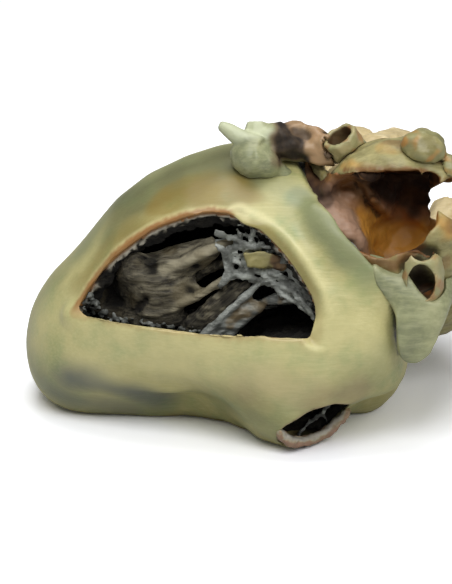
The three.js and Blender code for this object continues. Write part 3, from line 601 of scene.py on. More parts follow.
# and nothing of it reaches below the floor
skinPoints[:, 2] = np.maximum(skinPoints[:, 2], 0)
setPoints(skin, skinPoints)
rolledTree = treeOf(skin)
skinPoints = pointsOf(skin)
# the green along the outline's left, top and lower edges is partly painted shade, the olive row under the
# belly is painted shade, the cream rows are painted light on the left end and across the belly, and the
# near-black line beside the flap is a painted groove shadow
skinTints = {
    "green": [
        (0.5, [(27, 335), (45, 292), (90, 236)], 0, 9, 3, 7, 1),
        (0.75, [(90, 236), (127, 195), (160, 172), (215, 152)], 1, 12, 5, 7, 1),
        (1, [(300, 196), (316, 214), (328, 232), (344, 251), (372, 266), (398, 283)], 1, 6.5, 2, 6, 2),
        (0.6, [(262, 180), (285, 192), (300, 212)], 0, 7, 3, 7, 14),
        (0.55, [(262, 425), (272, 436)], 1, 6, 3, 5, 15),
        (0.5, [(345, 385), (375, 372), (385, 350)], 0, 8, 3, 6, 16),
        (0.6, [(32, 360), (40, 380), (60, 395)], 1, 8, 4, 8, 3)],
    "olive_and_low_shade": [
        (1, [(128, 208), (150, 193), (180, 178), (205, 168), (228, 166)], 4, 12, 4, 7, 10),
        (0.5, [(215, 398), (250, 404), (290, 415)], 1, 8, 4, 8, 18)],
    "blue": [
        (1, [(72, 378), (98, 384), (128, 391), (160, 398)], 0, 8, 2.5, 9, 4),
        (0.7, [(55, 392), (85, 402), (130, 408)], 0, 9, 2, 7, 12)],
    "stain": [(1, [(168, 204), (195, 195), (235, 192)], 2.2, 7, 3, 5, 5)],
    "pink": [(1, [(250, 380), (300, 392), (350, 396)], 1, 7, 3, 8, 7)],
    "cream": [
        (0.4, [(40, 330), (62, 318), (75, 345)], 2, 11, 4, 9, 17),
        (0.5, [(100, 345), (200, 355), (300, 355), (350, 330)], 2, 14, 5, 10, 9)],
    "inside": [(1, [(394, 306), (395, 320), (396, 336), (399, 352)], 0.3, 1.1, 0.3, 1.5, 13)]}
anyEdgeAway = distancesTo(allSharp, skinPoints)
edgeAway = distancesTo([point for point in allSharp if notRolled(point)], skinPoints)
smallWindow = place(19.6, -27, 6.4)
nearSmall = 1 - ease(awayFrom(smallWindow, skinPoints), 10, 13)
nearTop = zone(skinPoints, topRim, 4, 8)
# the inner face looks towards the heart's long axis
outwards = skinPoints - np.clip(skinPoints, np.array(place(-30, 0, 26)), np.array(place(14, 0, 26)))
innerFace = 1 - ease(np.einsum("ij,ij->i", normalsOf(skin), outwards) / mm, -6, 2)
# beside the rim's right side the bevel's slope is painted darker ochre and its crest cream, a painted shade
# and highlight; cream also paints a highlight just outside the top rim, and the fat in the back groove; the
# inner face and the skin falling into the crevice are painted near-black, as shade
tintZones(skin, skinPoints, rolledTree, skinTints, stain=[
    0.75 * (1 - ease(rimAway, 1.2, 2.1)),
    0.7 * zone(skinPoints, topRim, 1, 6, 2, 6, 6)], cream=[
    0.85 * bell(rimAway - 2.8, 0.8) * ease(awayFrom(besideRim[-1], skinPoints), 1, 5),
    0.7 * (1 - ease(anyEdgeAway, 1.0, 2.2)) * zone(skinPoints, topRim, 3, 6),
    0.8 * (1 - ease(grooveAway, 0.8, 2.6))], inside=[
    ease(edgeAway, 0.8, 2) * innerFace,
    ease(edgeAway, 0.2, 0.7) * innerFace * nearSmall, fallsAway])
# the cut itself is brown, the skin beside it isn't
toMiddle = np.array(windowMiddle) - skinPoints
facing = np.einsum("ij,ij->i", normalsOf(skin), toMiddle) / np.linalg.norm(toMiddle, axis=1)
grained = edgeAway + 0.5 * cloudiness(skinPoints, 0.9, 91)
cutFace = ease(facing, -0.1, 0.35) * (1 - ease(edgeAway, 1.4, 2.4)) + 0.9 * (1 - ease(grained, 0.6, 1.7))
cutFace = np.clip(cutFace, 0, 1) * (0.35 + 0.65 * nearTop) * (1 - nearSmall)
tint(skin, browned=np.maximum(cutFace, 0.5 * (1 - ease(grooveAway, 0.2, 0.6))),
     rim=0.5 * (1 - ease(edgeAway, 0.2, 0.7)) * nearSmall)

# the thick lower rim of the small window: pinkish outside, with a ragged grey fringe inside;
# each point of a cord is across and down in the picture, then depth and radius in millimetres
smallRimLook = {"voxel": 0.3, "close": 0.4, "soothe": 3, "lumps": [(2.2, 0.4, 19), (0.8, 0.25, 20)]}
smallRim = [
    (279, 430, -27.4, 0.6), (282, 437, -26.4, 1.2), (289, 441, -25, 1.4), (300, 442, -23.4, 1.1),
    (312, 440, -21.4, 1.1), (325, 434, -19.6, 1.1), (335, 426, -18.6, 1.1), (343, 417, -18.6, 1.0),
    (348, 410, -19.5, 0.7)]
smallFringe = [
    (282, 430, -26.2, 0.4), (287, 436, -24.8, 0.5), (297, 439, -22.8, 0.6), (311, 437, -20.6, 0.7),
    (324, 431, -18.8, 0.7), (334, 422, -17.8, 0.6), (342, 414, -18, 0.4)]
rimPiece = finishPiece(cordsAlong([smallRim, smallFringe]), "small_window_rim", "epicardium", smallRimLook)
fringeLine = lineOn(treeOf(rimPiece), *[spot[:2] for spot in smallFringe])
fringed = zone(pointsOf(rimPiece), fringeLine, 0.5, 1.2, 0.6, 1.2, 66)
tint(rimPiece, rim=1 - fringed, fringe=fringed)
smallStrandLook = {"voxel": 0.22, "soothe": 3, "lumps": [(1.2, 0.35, 67), (0.6, 0.15, 68)]}
smallStrands = [
    [(330, 404, -20, 0.5), (322, 413, -18, 0.4), (316, 418, -17, 0.6), (306, 424, -16.5, 0.3),
     (298, 436, -20, 0.4)],
    [(322, 413, -18, 0.3), (327, 420, -16.5, 0.35), (330, 430, -16, 0.4)]]
smallTissue = finishPiece(cordsAlong(smallStrands), "right_ventricle_strands", "fibrous_tissue",
                          smallStrandLook)
tint(smallTissue, deep=0.8 * patches(pointsOf(smallTissue), 1.6, 69, -0.4, 0.2))

# the deep crevice between the skin's edge and the torn atrium, whose shade is painted dark on the pieces
# beside it; each point is across, down, depth
creviceSpots = [(262, 126, 1), (268, 137, 0), (277, 150, -1), (286, 162, -2), (294, 174, -3), (302, 187, -5),
                (311, 199, -7)]
creviceLine = [atDepth(*spot) for spot in creviceSpots]


def creviceShadeOn(points, reach):
    return zone(points, creviceLine, 2.0, reach, 2.0, 2.5, 80)


# muscle walls inside the skin
wallLook = {"voxel": 0.7, "soften": 12, "soothe": 1, "ridge": 1.1, "ragged": 0.8, "proud": 0.45,
            "shadedEnd": [(103, 276), (107, 288), (112, 302)]}


# depth in millimetres below the large window's plane
def depthBelow(points):
    return (points - np.array(windowMiddle)) @ np.array(inward) / mm


# torn and corded muscle: ridges along the heart, only on surfaces that the skin doesn't cover
def roughen(piece, look):
    points, normals = pointsOf(piece), normalsOf(piece)
    buried = np.array([skinTree.find_nearest(Vector(point))[3] for point in points]) / mm
    free = ease(buried, 0.5, 2.0)
    cords = 1 - np.abs(cloudiness(points, 3.2, 11, (3, 1, 1))) * 2.2
    cords = cords + 0.5 * (1 - np.abs(cloudiness(points, 1.5, 12, (3, 1, 1))) * 2)
    points = points + normals * (free * (cords - 0.6) * look["ridge"] * mm)[:, None]
    # the wall's outermost layer stands a little proud, so that no groove opens under the skin
    points = points + normals * ((1 - ease(buried, 0.3, 1.0)) * look["proud"] * mm)[:, None]
    for axis in range(3):
        points[:, axis] += free * look["ragged"] * mm * cloudiness(points, 1.4, 13 + axis)
    setPoints(piece, points)
    # beyond a pale fringe at the skin the free muscle is painted near-black, as painted shade in the hollow
    fringe = buried + 1.1 * cloudiness(points, 1.2, 17) + 0.5 * cloudiness(points, 0.8, 18)
    tints = {"deep": ease(fringe, 0.9, 1.4), "fringe": (1 - ease(fringe, 0.8, 1.4)) * ease(buried, 0.3, 0.7),
             "browned": 1 - ease(buried, 0.3, 0.7)}
    tint(piece, **tints)
    return tints


leftWall = dress("left_ventricle_wall", "muscle", wallLook)
leftTints = roughen(leftWall, wallLook)
tug(leftWall)
rollRim(leftWall, rollLook)
# at the window's left end the wall is painted dark, as painted shade
endLine = lineOn(treeOf(leftWall), *wallLook["shadedEnd"])
shadedLeftEnd = zone(pointsOf(leftWall), endLine, 1.4, 2.8, 0.6, 1.5, 32)
tint(leftWall, deep=shadedLeftEnd + leftTints["deep"] * (1 - shadedLeftEnd), fringe=leftTints["fringe"] * (1 - shadedLeftEnd))
septum = dress("interventricular_septum", "muscle", wallLook)
roughen(septum, wallLook)
rightWall = dress("right_ventricle_wall", "muscle", wallLook)
roughen(rightWall, wallLook)
tug(rightWall)
# the right ventricle's wall, seen only through the small window, is painted near-black as painted shade in
# its hollow
tint(rightWall, fringe=0, browned=0, deep=0.96)
print("walls dressed")

# papillary muscles and the band in the right ventricle
papillaryLook = {"voxel": 0.4, "soften": 10, "close": 0.8, "soothe": 6,
                 "lumps": [(2.4, 0.5, 21, (5, 1, 1)), (0.9, 0.3, 22, (6, 1, 1))]}


# hollows pressed into a piece where the picture shows them dark, and painted dark as their shade: a line of
# points, then radius and depth in millimetres
def dent(piece, tree, dents):
    points, normals = pointsOf(piece), normalsOf(piece)
    paintedShade = np.zeros(len(points))
    for line, radius, depth in dents:
        away = distancesTo(lineOn(tree, *line), points) + 0.25 * radius * cloudiness(points, radius, 25)
        share = bell(away, radius)
        points = points - normals * (share * depth * mm)[:, None]
        paintedShade = np.maximum(paintedShade, np.clip(1.6 * share - 0.15, 0, 1))
    setPoints(piece, points)
    return paintedShade


bandDents = [
    ([(143, 246), (149, 257), (154, 268)], 2.2, 2.0), ([(155, 248), (180, 243), (205, 238)], 2.0, 1.4),
    ([(105, 276), (109, 290), (112, 303)], 3.0, 2.6), ([(133, 314), (138, 307), (144, 302)], 1.2, 1.3),
    ([(95, 318), (110, 320), (128, 326)], 1.0, 1.0), ([(190, 290), (205, 279), (218, 272)], 1.2, 1.2),
    ([(196, 268), (212, 262)], 1.2, 1.0), ([(186, 312), (205, 300), (220, 292)], 1.0, 0.8)]
# the broad striated band and its ridges
bandCords = [
    [(104, 262, -3, 2.0), (130, 262, -7, 2.4), (155, 262, -9, 2.0), (175, 264, -9, 1.2)],
    [(100, 275, -3, 2.2), (126, 272, -7, 2.6), (155, 274, -9, 2.6), (185, 272, -8, 1.2)],
    [(120, 286, -4, 2.0), (145, 284, -8, 2.8), (172, 286, -8, 2.4), (196, 280, -6, 1.0)],
    [(118, 298, -4, 1.8), (145, 296, -8, 2.8), (170, 298, -8, 2.2), (185, 294, -6, 1.0)],
    [(118, 314, -4, 1.6), (142, 309, -8, 2.4), (165, 310, -8, 2.0), (182, 306, -7, 1.0)],
    [(112, 324, -5, 1.5), (142, 321, -8, 1.8), (170, 322, -8, 1.6), (200, 318, -5, 1.0)],
    [(168, 272, -9, 0.8), (190, 259, -10.5, 1.2), (212, 249, -11, 1.3), (227, 242, -11, 0.9),
     (240, 246, -12, 0.6)],
    [(172, 309, -9, 0.8), (190, 301, -10, 1.0), (206, 291, -10.5, 1.0), (221, 283, -11, 0.9),
     (236, 274, -12, 0.6)]]
brightLines = [(1, [(164, 270), (190, 258), (218, 244)], 0.7, 2.2, 0.5, 1.5, 26),
               (1, [(177, 308), (192, 299), (208, 289), (227, 280)], 0.7, 2.2, 0.5, 1.5, 26)]
# the band grows paler between these two points of the picture, each with its depth, as the painted shade at
# its left end fades out
bandPales = [(108, 285, -5), (160, 285, -8)]
for node in ("papillary_muscle_upper", "papillary_muscle_lower", "papillary_muscle_right", "moderator_band"):
    isBand = node == "papillary_muscle_upper"
    added = cordsAlong(bandCords) if isBand else []
    piece = dress(node, "muscle", {**papillaryLook, "close": 1.5 if isBand else 0.8}, added)
    points = pointsOf(piece)
    # deeper below the window the pale streaks fade and the muscle is painted darker, as painted shade in the
    # hollow; the pieces deep in the right ventricle are painted near-black the same way
    below = depthBelow(points)
    pale = 0.75 * (1 - ease(below, 11, 20)) * patches(points, 0.8, 23, -0.3, 0.5, (7, 1, 1))
    paintedShade = 0.85 * ease(below, 13, 22)
    if isBand:
        smoothTree = treeOf(piece)
        towardsRight = ease(points[:, 0] / mm, *[atDepth(*spot).x / mm for spot in bandPales])
        pale, paintedShade = pale * towardsRight, np.maximum(paintedShade, 0.55 * (1 - towardsRight))
        paintedShade = np.maximum(paintedShade, dent(piece, smoothTree, bandDents))
        bright = zones(points, smoothTree, brightLines)
        pale, paintedShade = np.maximum(pale, bright), paintedShade * (1 - bright)
        bandTree = treeOf(piece)
    elif node in ("papillary_muscle_right", "moderator_band"):
        pale, paintedShade = 0, 0.93
    tint(piece, pale=pale, ochre=0.7 * patches(points, 5, 24, 0, 0.4), deep=paintedShade)

# loose strands in the large window
strandLook = {"voxel": 0.28, "soothe": 5, "close": 0.5,
              "lumps": [(1.6, 0.35, 33, (3, 1, 1)), (0.8, 0.15, 34, (2, 1, 1))],
              "bright": [(204, 334), (222, 316), (240, 300), (262, 282)]}
broadStrands = [
    [(200, 338, -12, 1.0), (212, 327, -13.2, 0.85), (226, 313, -13.2, 0.75), (241, 300, -13, 0.7),
     (257, 286, -12.5, 0.8), (266, 276, -13, 0.6)],
    [(208, 342, -11, 1.2), (222, 328, -12.4, 1.2), (236, 317, -12.4, 1.1), (248, 307, -12.2, 0.9),
     (256, 300, -12, 0.6)],
    [(216, 343, -11, 1.1), (234, 329, -12.2, 1.1), (250, 316, -12.4, 1.0), (262, 304, -12.6, 0.9),
     (276, 295, -13.4, 0.7), (290, 290, -15, 0.6), (304, 290, -17, 0.5)],
    [(262, 301, -13, 0.6), (272, 303, -13.6, 0.6), (290, 300, -15.5, 0.5), (306, 300, -18, 0.5)]]
strands = finishPiece(cordsAlong(broadStrands), "broad_trabecular_strands", "fibrous_tissue", strandLook)
strandPoints = pointsOf(strands)
strandLine = lineOn(treeOf(strands), *strandLook["bright"])
dulled = 1 - zone(strandPoints, strandLine, 0.9, 1.7, 0.4, 1.2, 27)
tint(strands, dull=dulled * patches(strandPoints, 1.0, 28, -0.5, 0.2, (3, 1, 1)),
     ochre=0.6 * dulled * patches(strandPoints, 3, 29, -0.1, 0.3))
# dark muscle between the middle ridge and the broad strands
middleRidges = [
    [(186, 282, -4.5, 1.0), (197, 275, -5.5, 1.3), (207, 270, -6.0, 1.4), (217, 265, -6.5, 1.0),
     (226, 262, -9, 0.7)],
    [(178, 336, -8, 1.6), (196, 322, -9.6, 1.9), (212, 305, -10.2, 1.8), (228, 290, -10.8, 1.3),
     (238, 281, -11.5, 0.8)],
    [(190, 340, -8, 1.6), (206, 326, -10.2, 1.9), (222, 309, -10.6, 1.6), (238, 293, -11.2, 1.1),
     (250, 282, -12, 0.7)]]
middleMuscle = finishPiece(cordsAlong(middleRidges), "middle_muscle_ridge", "muscle", papillaryLook,
                           slantedMuscle)
middlePoints = pointsOf(middleMuscle)
tint(middleMuscle, pale=0.5 * patches(middlePoints, 0.8, 30, 0.0, 0.5, (5, 1, 1)),
     deep=0.75 * patches(middlePoints, 2.2, 31, -0.35, 0.15))
print("strands made")


# noise over the picture, in another slice of it for each seed
def wavering(across, down, seed):
    return noise.noise(Vector((across, down, seed)))


# a thin sheet laid over a part of the picture at given depths, with holes
def sheetOver(box, step, depthAt, holeAt, thickness):
    left, top, right, bottom = box
    columns, rows = round((right - left) / step), round((bottom - top) / step)
    bpy.ops.mesh.primitive_grid_add(x_subdivisions=columns, y_subdivisions=rows, size=2)
    sheet = bpy.context.object
    spots = [((vertex.co.x + 1) / 2 * (right - left) + left, (1 - vertex.co.y) / 2 * (bottom - top) + top)
             for vertex in sheet.data.vertices]
    setPoints(sheet, np.array([atDepth(across, down, depthAt(across, down)) for across, down in spots]))
    shape = bmesh.new()
    shape.from_mesh(sheet.data)
    shape.verts.ensure_lookup_table()
    gone = [vertex for vertex, spot in zip(shape.verts, spots) if holeAt(*spot)]
    bmesh.ops.delete(shape, geom=gone, context="VERTS")
    shape.to_mesh(sheet.data)
    shape.free()
    useModifier(sheet, "SOLIDIFY", thickness=thickness * mm, offset=0)
    return sheet


# torn shreds that lie on the muscle along the window's lower edge
shredLook = {"voxel": 0.24, "soothe": 2, "lumps": [(1.4, 0.4, 58), (0.7, 0.2, 59)], "thickness": 0.5,
             "box": (82, 286, 208, 340), "above": 0.35, "rise": 0.9,
             "tops": [(84, 296), (92, 290), (100, 304), (116, 314), (135, 319), (160, 321), (185, 326),
                      (206, 331)]}
shredTrees = [treeOf(leftWall), treeOf(septum), bandTree, treeOf(middleMuscle)]


def shredDepth(across, down):
    met = [seenOn(tree, across, down) for tree in shredTrees]
    near = min((point.y for point in met if point), default=0.02) / mm - heartShift.y
    return near - shredLook["above"] - shredLook["rise"] * max(0, wavering(across / 3, down / 3, 4))


def shredHole(across, down):
    columns, tops = zip(*shredLook["tops"])
    if down < np.interp(across, columns, tops) + 4 * wavering(across / 5, 8, 1):
        return True
    met = seenOn(rolledTree, across, down)
    if met and met.y < atDepth(across, down, -8).y:
        return True
    return wavering(across / 4.5, down / 2.6, 6) > 0.16


shredSheet = sheetOver(shredLook["box"], 1.0, shredDepth, shredHole, shredLook["thickness"])
shreds = finishPiece([shredSheet], "torn_shreds", "fibrous_tissue", shredLook)
tint(shreds, dull=0.35 + 0.65 * patches(pointsOf(shreds), 1.6, 60, -0.3, 0.25))

# the fibrous net at the right of the window: a leaflet gone to lace, with one round hole;
# it is whole behind the pale block, and recedes from one column of the picture on
netLook = {"voxel": 0.22, "soothe": 3, "lumps": [(1.2, 0.35, 35), (0.7, 0.2, 36)], "thickness": 0.35,
           "box": (222, 224, 322, 320), "ring": (236, 267), "ringRadii": (4.2, 6.5),
           "whole": (241, 250, 288, 272), "clear": 2.4, "depth": -12.3, "recess": 4.5,
           "recessFrom": 245, "recessOver": 65, "middleRow": 270, "leftEdge": (224, 268),
           "lowEdge": (225, 268)}


# whether something at this depth would come through the skin beside the window
def shownThrough(across, down, depth):
    met = seenOn(rolledTree, across, down)
    if not met or met.y >= atDepth(across, down, -5).y:
        return False
    return atDepth(across, down, depth).y < met.y + netLook["clear"] * mm


def netDepth(across, down):
    wave, ripple = wavering(across / 9, down / 9, 3), wavering(across / 3.5, down / 3.5, 9)
    recess = netLook["recess"] * max(0, (across - netLook["recessFrom"]) / netLook["recessOver"])
    fromMiddle = abs(down - netLook["middleRow"])
    return netLook["depth"] - recess + 2.2 * wave + 0.8 * ripple - 0.02 * fromMiddle


def netHole(across, down):
    fromRing = math.dist((across, down), netLook["ring"])
    hole, border = netLook["ringRadii"]
    if fromRing < border:
        return fromRing < hole
    column, row = netLook["leftEdge"]
    edge = column + 0.3 * abs(down - row) + 4 * wavering(down / 5, 1, 7)
    column, row = netLook["lowEdge"]
    low = row + (across - column) * 0.52 + 4 * wavering(across / 5, 4, 7)
    if across < edge or down > low or shownThrough(across, down, netDepth(across, down)):
        return True
    left, top, right, bottom = netLook["whole"]
    if left < across < right and top < down < bottom:
        return False
    along, beside = (across - down) / 1.41, (across + down) / 1.41
    return wavering(along / 5, beside / 10, 0) + 0.5 * wavering(across / 3.2, down / 3.2, 5) > 0.16


# the thicker strands of the net; each row is across, down, radius
netStrands = [
    [(215, 245, 0.5), (225, 250, 0.8), (227, 260, 0.9), (228, 270, 0.8), (226, 280, 0.9), (219, 287, 0.6)],
    [(241, 266, 0.55), (239, 271, 0.55), (234, 272, 0.55), (231, 267, 0.55), (233, 262, 0.55),
     (238, 261, 0.55), (241, 266, 0.5)],
    [(228, 276, 0.9), (238, 275, 0.7), (250, 278, 0.8), (260, 282, 0.8), (268, 280, 0.6)],
    [(225, 252, 0.8), (232, 246, 0.7), (243, 248, 0.6)],
    [(214, 232, 0.6), (224, 236, 0.6), (236, 239, 0.6), (247, 245, 0.6), (258, 251, 0.5)],
    [(246, 270, 0.6), (262, 272, 0.8), (278, 274, 0.7), (290, 282, 0.7), (300, 293, 0.7), (311, 308, 0.6)],
    [(262, 283, 0.7), (276, 284, 0.6), (290, 290, 0.7), (304, 302, 0.7), (315, 320, 0.6)],
    [(268, 274, 0.6), (272, 284, 0.6), (284, 296, 0.7), (300, 304, 0.6), (312, 314, 0.5)],
    [(288, 270, 0.5), (296, 278, 0.6), (304, 290, 0.6), (312, 302, 0.5)]]


def netCord(spots):
    placed = []
    for across, down, radius in spots:
        depth = netDepth(across, down) - 0.3
        while shownThrough(across, down, depth - radius):
            depth += 0.4
        placed.append((across, down, depth, radius))
    return cordAlong(placed)


netSheet = sheetOver(netLook["box"], 1.0, netDepth, netHole, netLook["thickness"])
net = finishPiece([netSheet] + [netCord(spots) for spots in netStrands], "leaflet_net", "fibrous_tissue",
                  netLook)
netPoints = pointsOf(net)
byRim = 0.25 * ease(distancesTo(rightRim, netPoints), 0, 9)
tint(net, dull=0.9 * ease(cloudiness(netPoints, 2.5, 37) - byRim, -0.45, 0.2),
     green=patches(netPoints, 5, 38, 0.1, 0.5))

# a small firm block that sits in the net, pale yellow, with a brown end
blockLook = {
    "voxel": 0.25, "soothe": 5, "lumps": [(2.2, 0.35, 39), (0.9, 0.12, 40)], "depths": (-15.6, -12.4),
    "corners": [(243, 253), (264, 251), (271, 254), (284, 256), (288, 266), (283, 271), (268, 268),
                (247, 267)],
    "brownFrom": (252, 260, -15), "brownAt": (276, 260, -15)}


# a solid with this outline in the picture, between two depths
def prismOf(outline, near, far):
    bpy.ops.mesh.primitive_cylinder_add(vertices=len(outline), depth=2)
    prism = bpy.context.object
    for vertex in prism.data.vertices:
        turned = math.atan2(vertex.co.x, vertex.co.y) % math.tau
        across, down = outline[round(turned / math.tau * len(outline)) % len(outline)]
        vertex.co = atDepth(across, down, near if vertex.co.z > 0 else far)
    makeActive(prism)
    bpy.ops.object.mode_set(mode="EDIT")
    bpy.ops.mesh.select_all(action="SELECT")
    bpy.ops.mesh.normals_make_consistent(inside=False)
    bpy.ops.object.mode_set(mode="OBJECT")
    return prism


blockSolid = prismOf(blockLook["corners"], *blockLook["depths"])
block = finishPiece([blockSolid], "pale_block_in_net", "fat", blockLook)
blockPoints = pointsOf(block)
browning = [atDepth(*blockLook[name]).x / mm for name in ("brownFrom", "brownAt")]
blockAlong = ease(blockPoints[:, 0] / mm + cloudiness(blockPoints, 1.6, 49), *browning)
tint(block, dull=0.6 + 0.4 * blockAlong, browned=ease(blockAlong, 0.75, 1.0),
     deep=0.8 * ease(blockAlong + 0.8 * cloudiness(blockPoints, 1.1, 50), 0.9, 1.3))
print("net made")

# leaflets and chordae
leafletLook = {"voxel": 0.3, "soften": 6, "soothe": 1, "lumps": [(1.8, 0.35, 31)]}
for node in ("mitral_leaflet_upper", "mitral_leaflet_lower", "chordae_upper", "chordae_lower",
             "tricuspid_leaflet_front", "tricuspid_leaflet_top", "tricuspid_leaflet_bottom", "chordae_right",
             "aortic_cusp_1", "aortic_cusp_2", "aortic_cusp_3",
             "pulmonary_cusp_1", "pulmonary_cusp_2", "pulmonary_cusp_3"):
    dress(node, "fibrous_tissue", leafletLook)
plate = dress("valve_plate", "fibrous_tissue", {"voxel": 0.55, "soften": 8})
# the crevice's shade is painted dark on the plate
tint(plate, deep=creviceShadeOn(pointsOf(plate), 9))
print("valves dressed")

# atria, each with a point in its hollow
atriumLook = {"voxel": 0.5, "soften": 20, "lumps": [(5, 0.6, 41), (2, 0.25, 42)],
              "leftMiddle": (37, -8.7, 47.7), "rightMiddle": (45, 16, 24.5)}


# 1 on a shell's inner side
def innerSide(piece, centre):
    facing = np.einsum("ij,ij->i", normalsOf(piece), pointsOf(piece) - np.array(centre))
    return 1 - ease(facing, -0.002, 0.001)


# the two small openings below the atrium: pressed in and painted dark as their shade; each is a line in the
# picture, then radius and depth in millimetres
pitLook = {"way": (0.1, 0.9, -0.3),
           "pits": [([(414, 266), (418, 276), (424, 286), (428, 294)], 2.8, 3.4),
                    ([(415, 251), (422, 252), (430, 255)], 1.8, 2.4)]}


def pressPits(piece, tree, look):
    points, paintedShade = pointsOf(piece), np.zeros(len(piece.data.vertices))
    for line, radius, depth in look["pits"]:
        away = distancesTo(lineOn(tree, *line), points) + 0.3 * cloudiness(points, 1.2, 74)
        share = np.exp(-(away / radius) ** 4)
        points = points + np.array(look["way"]) * (share * depth * mm)[:, None]
        paintedShade = np.maximum(paintedShade, share)
    setPoints(piece, points)
    return paintedShade


# the gap in the atrium's near wall, cut between two depths
gapLook = {"outline": [(418, 176), (430, 172), (441, 176), (439, 188), (442, 200), (438, 212), (437, 224),
                       (424, 240), (416, 230)], "depths": (-32, -13)}
wallGap = prismOf(gapLook["outline"], *gapLook["depths"])
leftAtrium = dress("left_atrium", "atrium", atriumLook, cutter=wallGap)
bpy.data.objects.remove(wallGap)
tint(leftAtrium, inner=innerSide(leftAtrium, place(*atriumLook["leftMiddle"])))
atriumTree = treeOf(leftAtrium)
pitShade = pressPits(leftAtrium, atriumTree, pitLook)
atriumPoints = pointsOf(leftAtrium)
atriumTints = {
    "browned": [
        (1, [(331, 170), (345, 170), (365, 170), (385, 170), (405, 170), (425, 171)], 0.3, 1.1, 0.4, 2, 77),
        (0.9, [(366, 257), (378, 262), (392, 264), (404, 260), (416, 252)], 0.8, 3, 1.4, 2, 85)],
    "pinkish": [(1, [(335, 208), (345, 225), (358, 240)], 2, 6, 1.5, 3, 43)],
    "ochre": [
        (1, [(365, 235), (385, 238), (410, 240)], 2, 6, 2, 3, 44),
        (0.6, [(428, 228), (440, 222), (448, 232)], 0.5, 3, 1.5, 3, 86),
        (0.45, [(336, 160), (344, 164), (356, 166)], 0.2, 2, 1, 2, 87),
        (0.25, [(380, 148), (394, 150)], 0.2, 2, 1.5, 2, 88)],
    # painted shade in the hollow seen through the gap in the near wall and in the crevice at the left; the
    # crevice and the pits add theirs below
    "deep": [
        (1, [(432, 176), (437, 190), (436, 205)], 1, 4, 1.5, 2, 45),
        (0.85, [(319, 164), (324, 170), (330, 176)], 1.2, 3, 1, 2, 93)]}
tintZones(leftAtrium, atriumPoints, atriumTree, atriumTints,
          browned=[0.55 * patches(atriumPoints, 5, 78, 0.15, 0.45)],
          deep=[creviceShadeOn(atriumPoints, 7), pitShade])

# lining of the opened atrium, draped over the valve plate, the leaflets and the far wall;
# each fold or tendril is across, down, across, down, half width in pixels, height in millimetres
liningLook = {
    "voxel": 0.32, "soothe": 3, "lumps": [(2.5, 0.4, 46), (1.0, 0.12, 47)], "offset": 0.8, "blur": 22,
    "thickness": 0.9, "box": (306, 160, 446, 268), "roofDown": 172, "roofFrom": 322, "endsAt": 430,
    "startDepth": -15, "startFrom": 375, "startOver": 8,
    "over": ["valve_plate", "left_atrium", "interatrial_septum", "mitral_leaflet_upper",
             "mitral_leaflet_lower"],
    "folds": [(352, 200, 366, 236, 16, 3.2), (360, 177, 374, 200, 3.5, 2.6), (374, 200, 388, 214, 3, 2.2),
              (364, 197, 376, 215, 3, -1.8), (330, 178, 362, 184, 4, 0.8), (330, 190, 352, 196, 3, 0.6),
              (396, 200, 424, 226, 4, 0.8), (400, 178, 430, 190, 5, 1.0), (388, 186, 406, 196, 5, -0.6)]}


# as seenOn, but past the near wall and the roof
def seenInside(tree, across, down):
    further = max(0, (across - liningLook["startFrom"]) / liningLook["startOver"])
    start = atDepth(across, down, liningLook["startDepth"] + further)
    return tree.ray_cast(start, sightLine(across, down))[0]


def drapedDepths(look):
    left, top, right, bottom = look["box"]
    trees = [treeOf(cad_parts[name]) for name in look["over"]]
    depths = np.full((bottom - top + 1, right - left + 1), np.nan)
    for down in range(top, bottom + 1):
        for across in range(left, right + 1):
            met = [seenInside(tree, across, down) for tree in trees]
            met = [point.y for point in met if point]
            if met:
                depths[down - top, across - left] = min(met) / mm - heartShift.y - look["offset"]
    return depths


def blurred(depths, reach):
    known = ~np.isnan(depths)
    total, weight = np.where(known, depths, 0.0), known.astype(float)
    for _ in range(reach):
        for axis in (0, 1):
            total = (np.roll(total, 1, axis) + 2 * total + np.roll(total, -1, axis)) / 4
            weight = (np.roll(weight, 1, axis) + 2 * weight + np.roll(weight, -1, axis)) / 4
    return total / np.maximum(weight, 1e-6)


liningDepths = blurred(drapedDepths(liningLook), liningLook["blur"])


def liningDepth(across, down):
    left, top, right, bottom = liningLook["box"]
    row, column = min(max(down, top), bottom) - top, min(max(across, left), right) - left
    depth = liningDepths[int(row), int(column)]
    for x1, y1, x2, y2, half, height in liningLook["folds"]:
        span = Vector((x2 - x1, y2 - y1))
        share = max(0, min(1, (Vector((across - x1, down - y1)) @ span) / span.length_squared))
        away = (Vector((across - x1, down - y1)) - share * span).length
        depth -= height * math.exp(-(away / half) ** 2)
    return depth


def liningHole(across, down):
    if down < liningLook["roofDown"] and across > liningLook["roofFrom"]:
        return True
    return across > liningLook["endsAt"] + 3 * wavering(down / 6, 2, 1)


liningSheet = sheetOver(liningLook["box"], 1.0, liningDepth, liningHole, liningLook["thickness"])
lining = finishPiece([liningSheet], "atrium_lining", "atrium", liningLook)
liningTree, liningPoints = treeOf(lining), pointsOf(lining)
tint(lining, inner=1)
liningTints = {
    "pinkish": [(1, [(334, 204), (342, 212), (351, 222), (358, 236)], 2.4, 6.5, 2, 3, 43)],
    "salmon": [(1, [(388, 196), (400, 206), (412, 214)], 1, 5, 2, 3, 48)],
    "ochre": [(1, [(368, 228), (380, 240), (400, 240), (420, 236)], 2, 6, 2, 3, 44)]}
tintZones(lining, liningPoints, liningTree, liningTints)
liningShade = [
    (1, [(370, 174), (388, 178), (405, 184), (424, 192), (430, 205), (432, 222)], 3, 7.5, 2, 3, 45),
    (0.9, [(396, 190), (412, 200)], 1.5, 5, 2, 3, 49),
    (0.85, [(355, 184), (366, 200), (378, 216)], 0.2, 1.1, 0.6, 1, 90),
    (0.8, [(318, 178), (322, 190), (326, 200)], 1.2, 3.2, 1.2, 2, 92)]
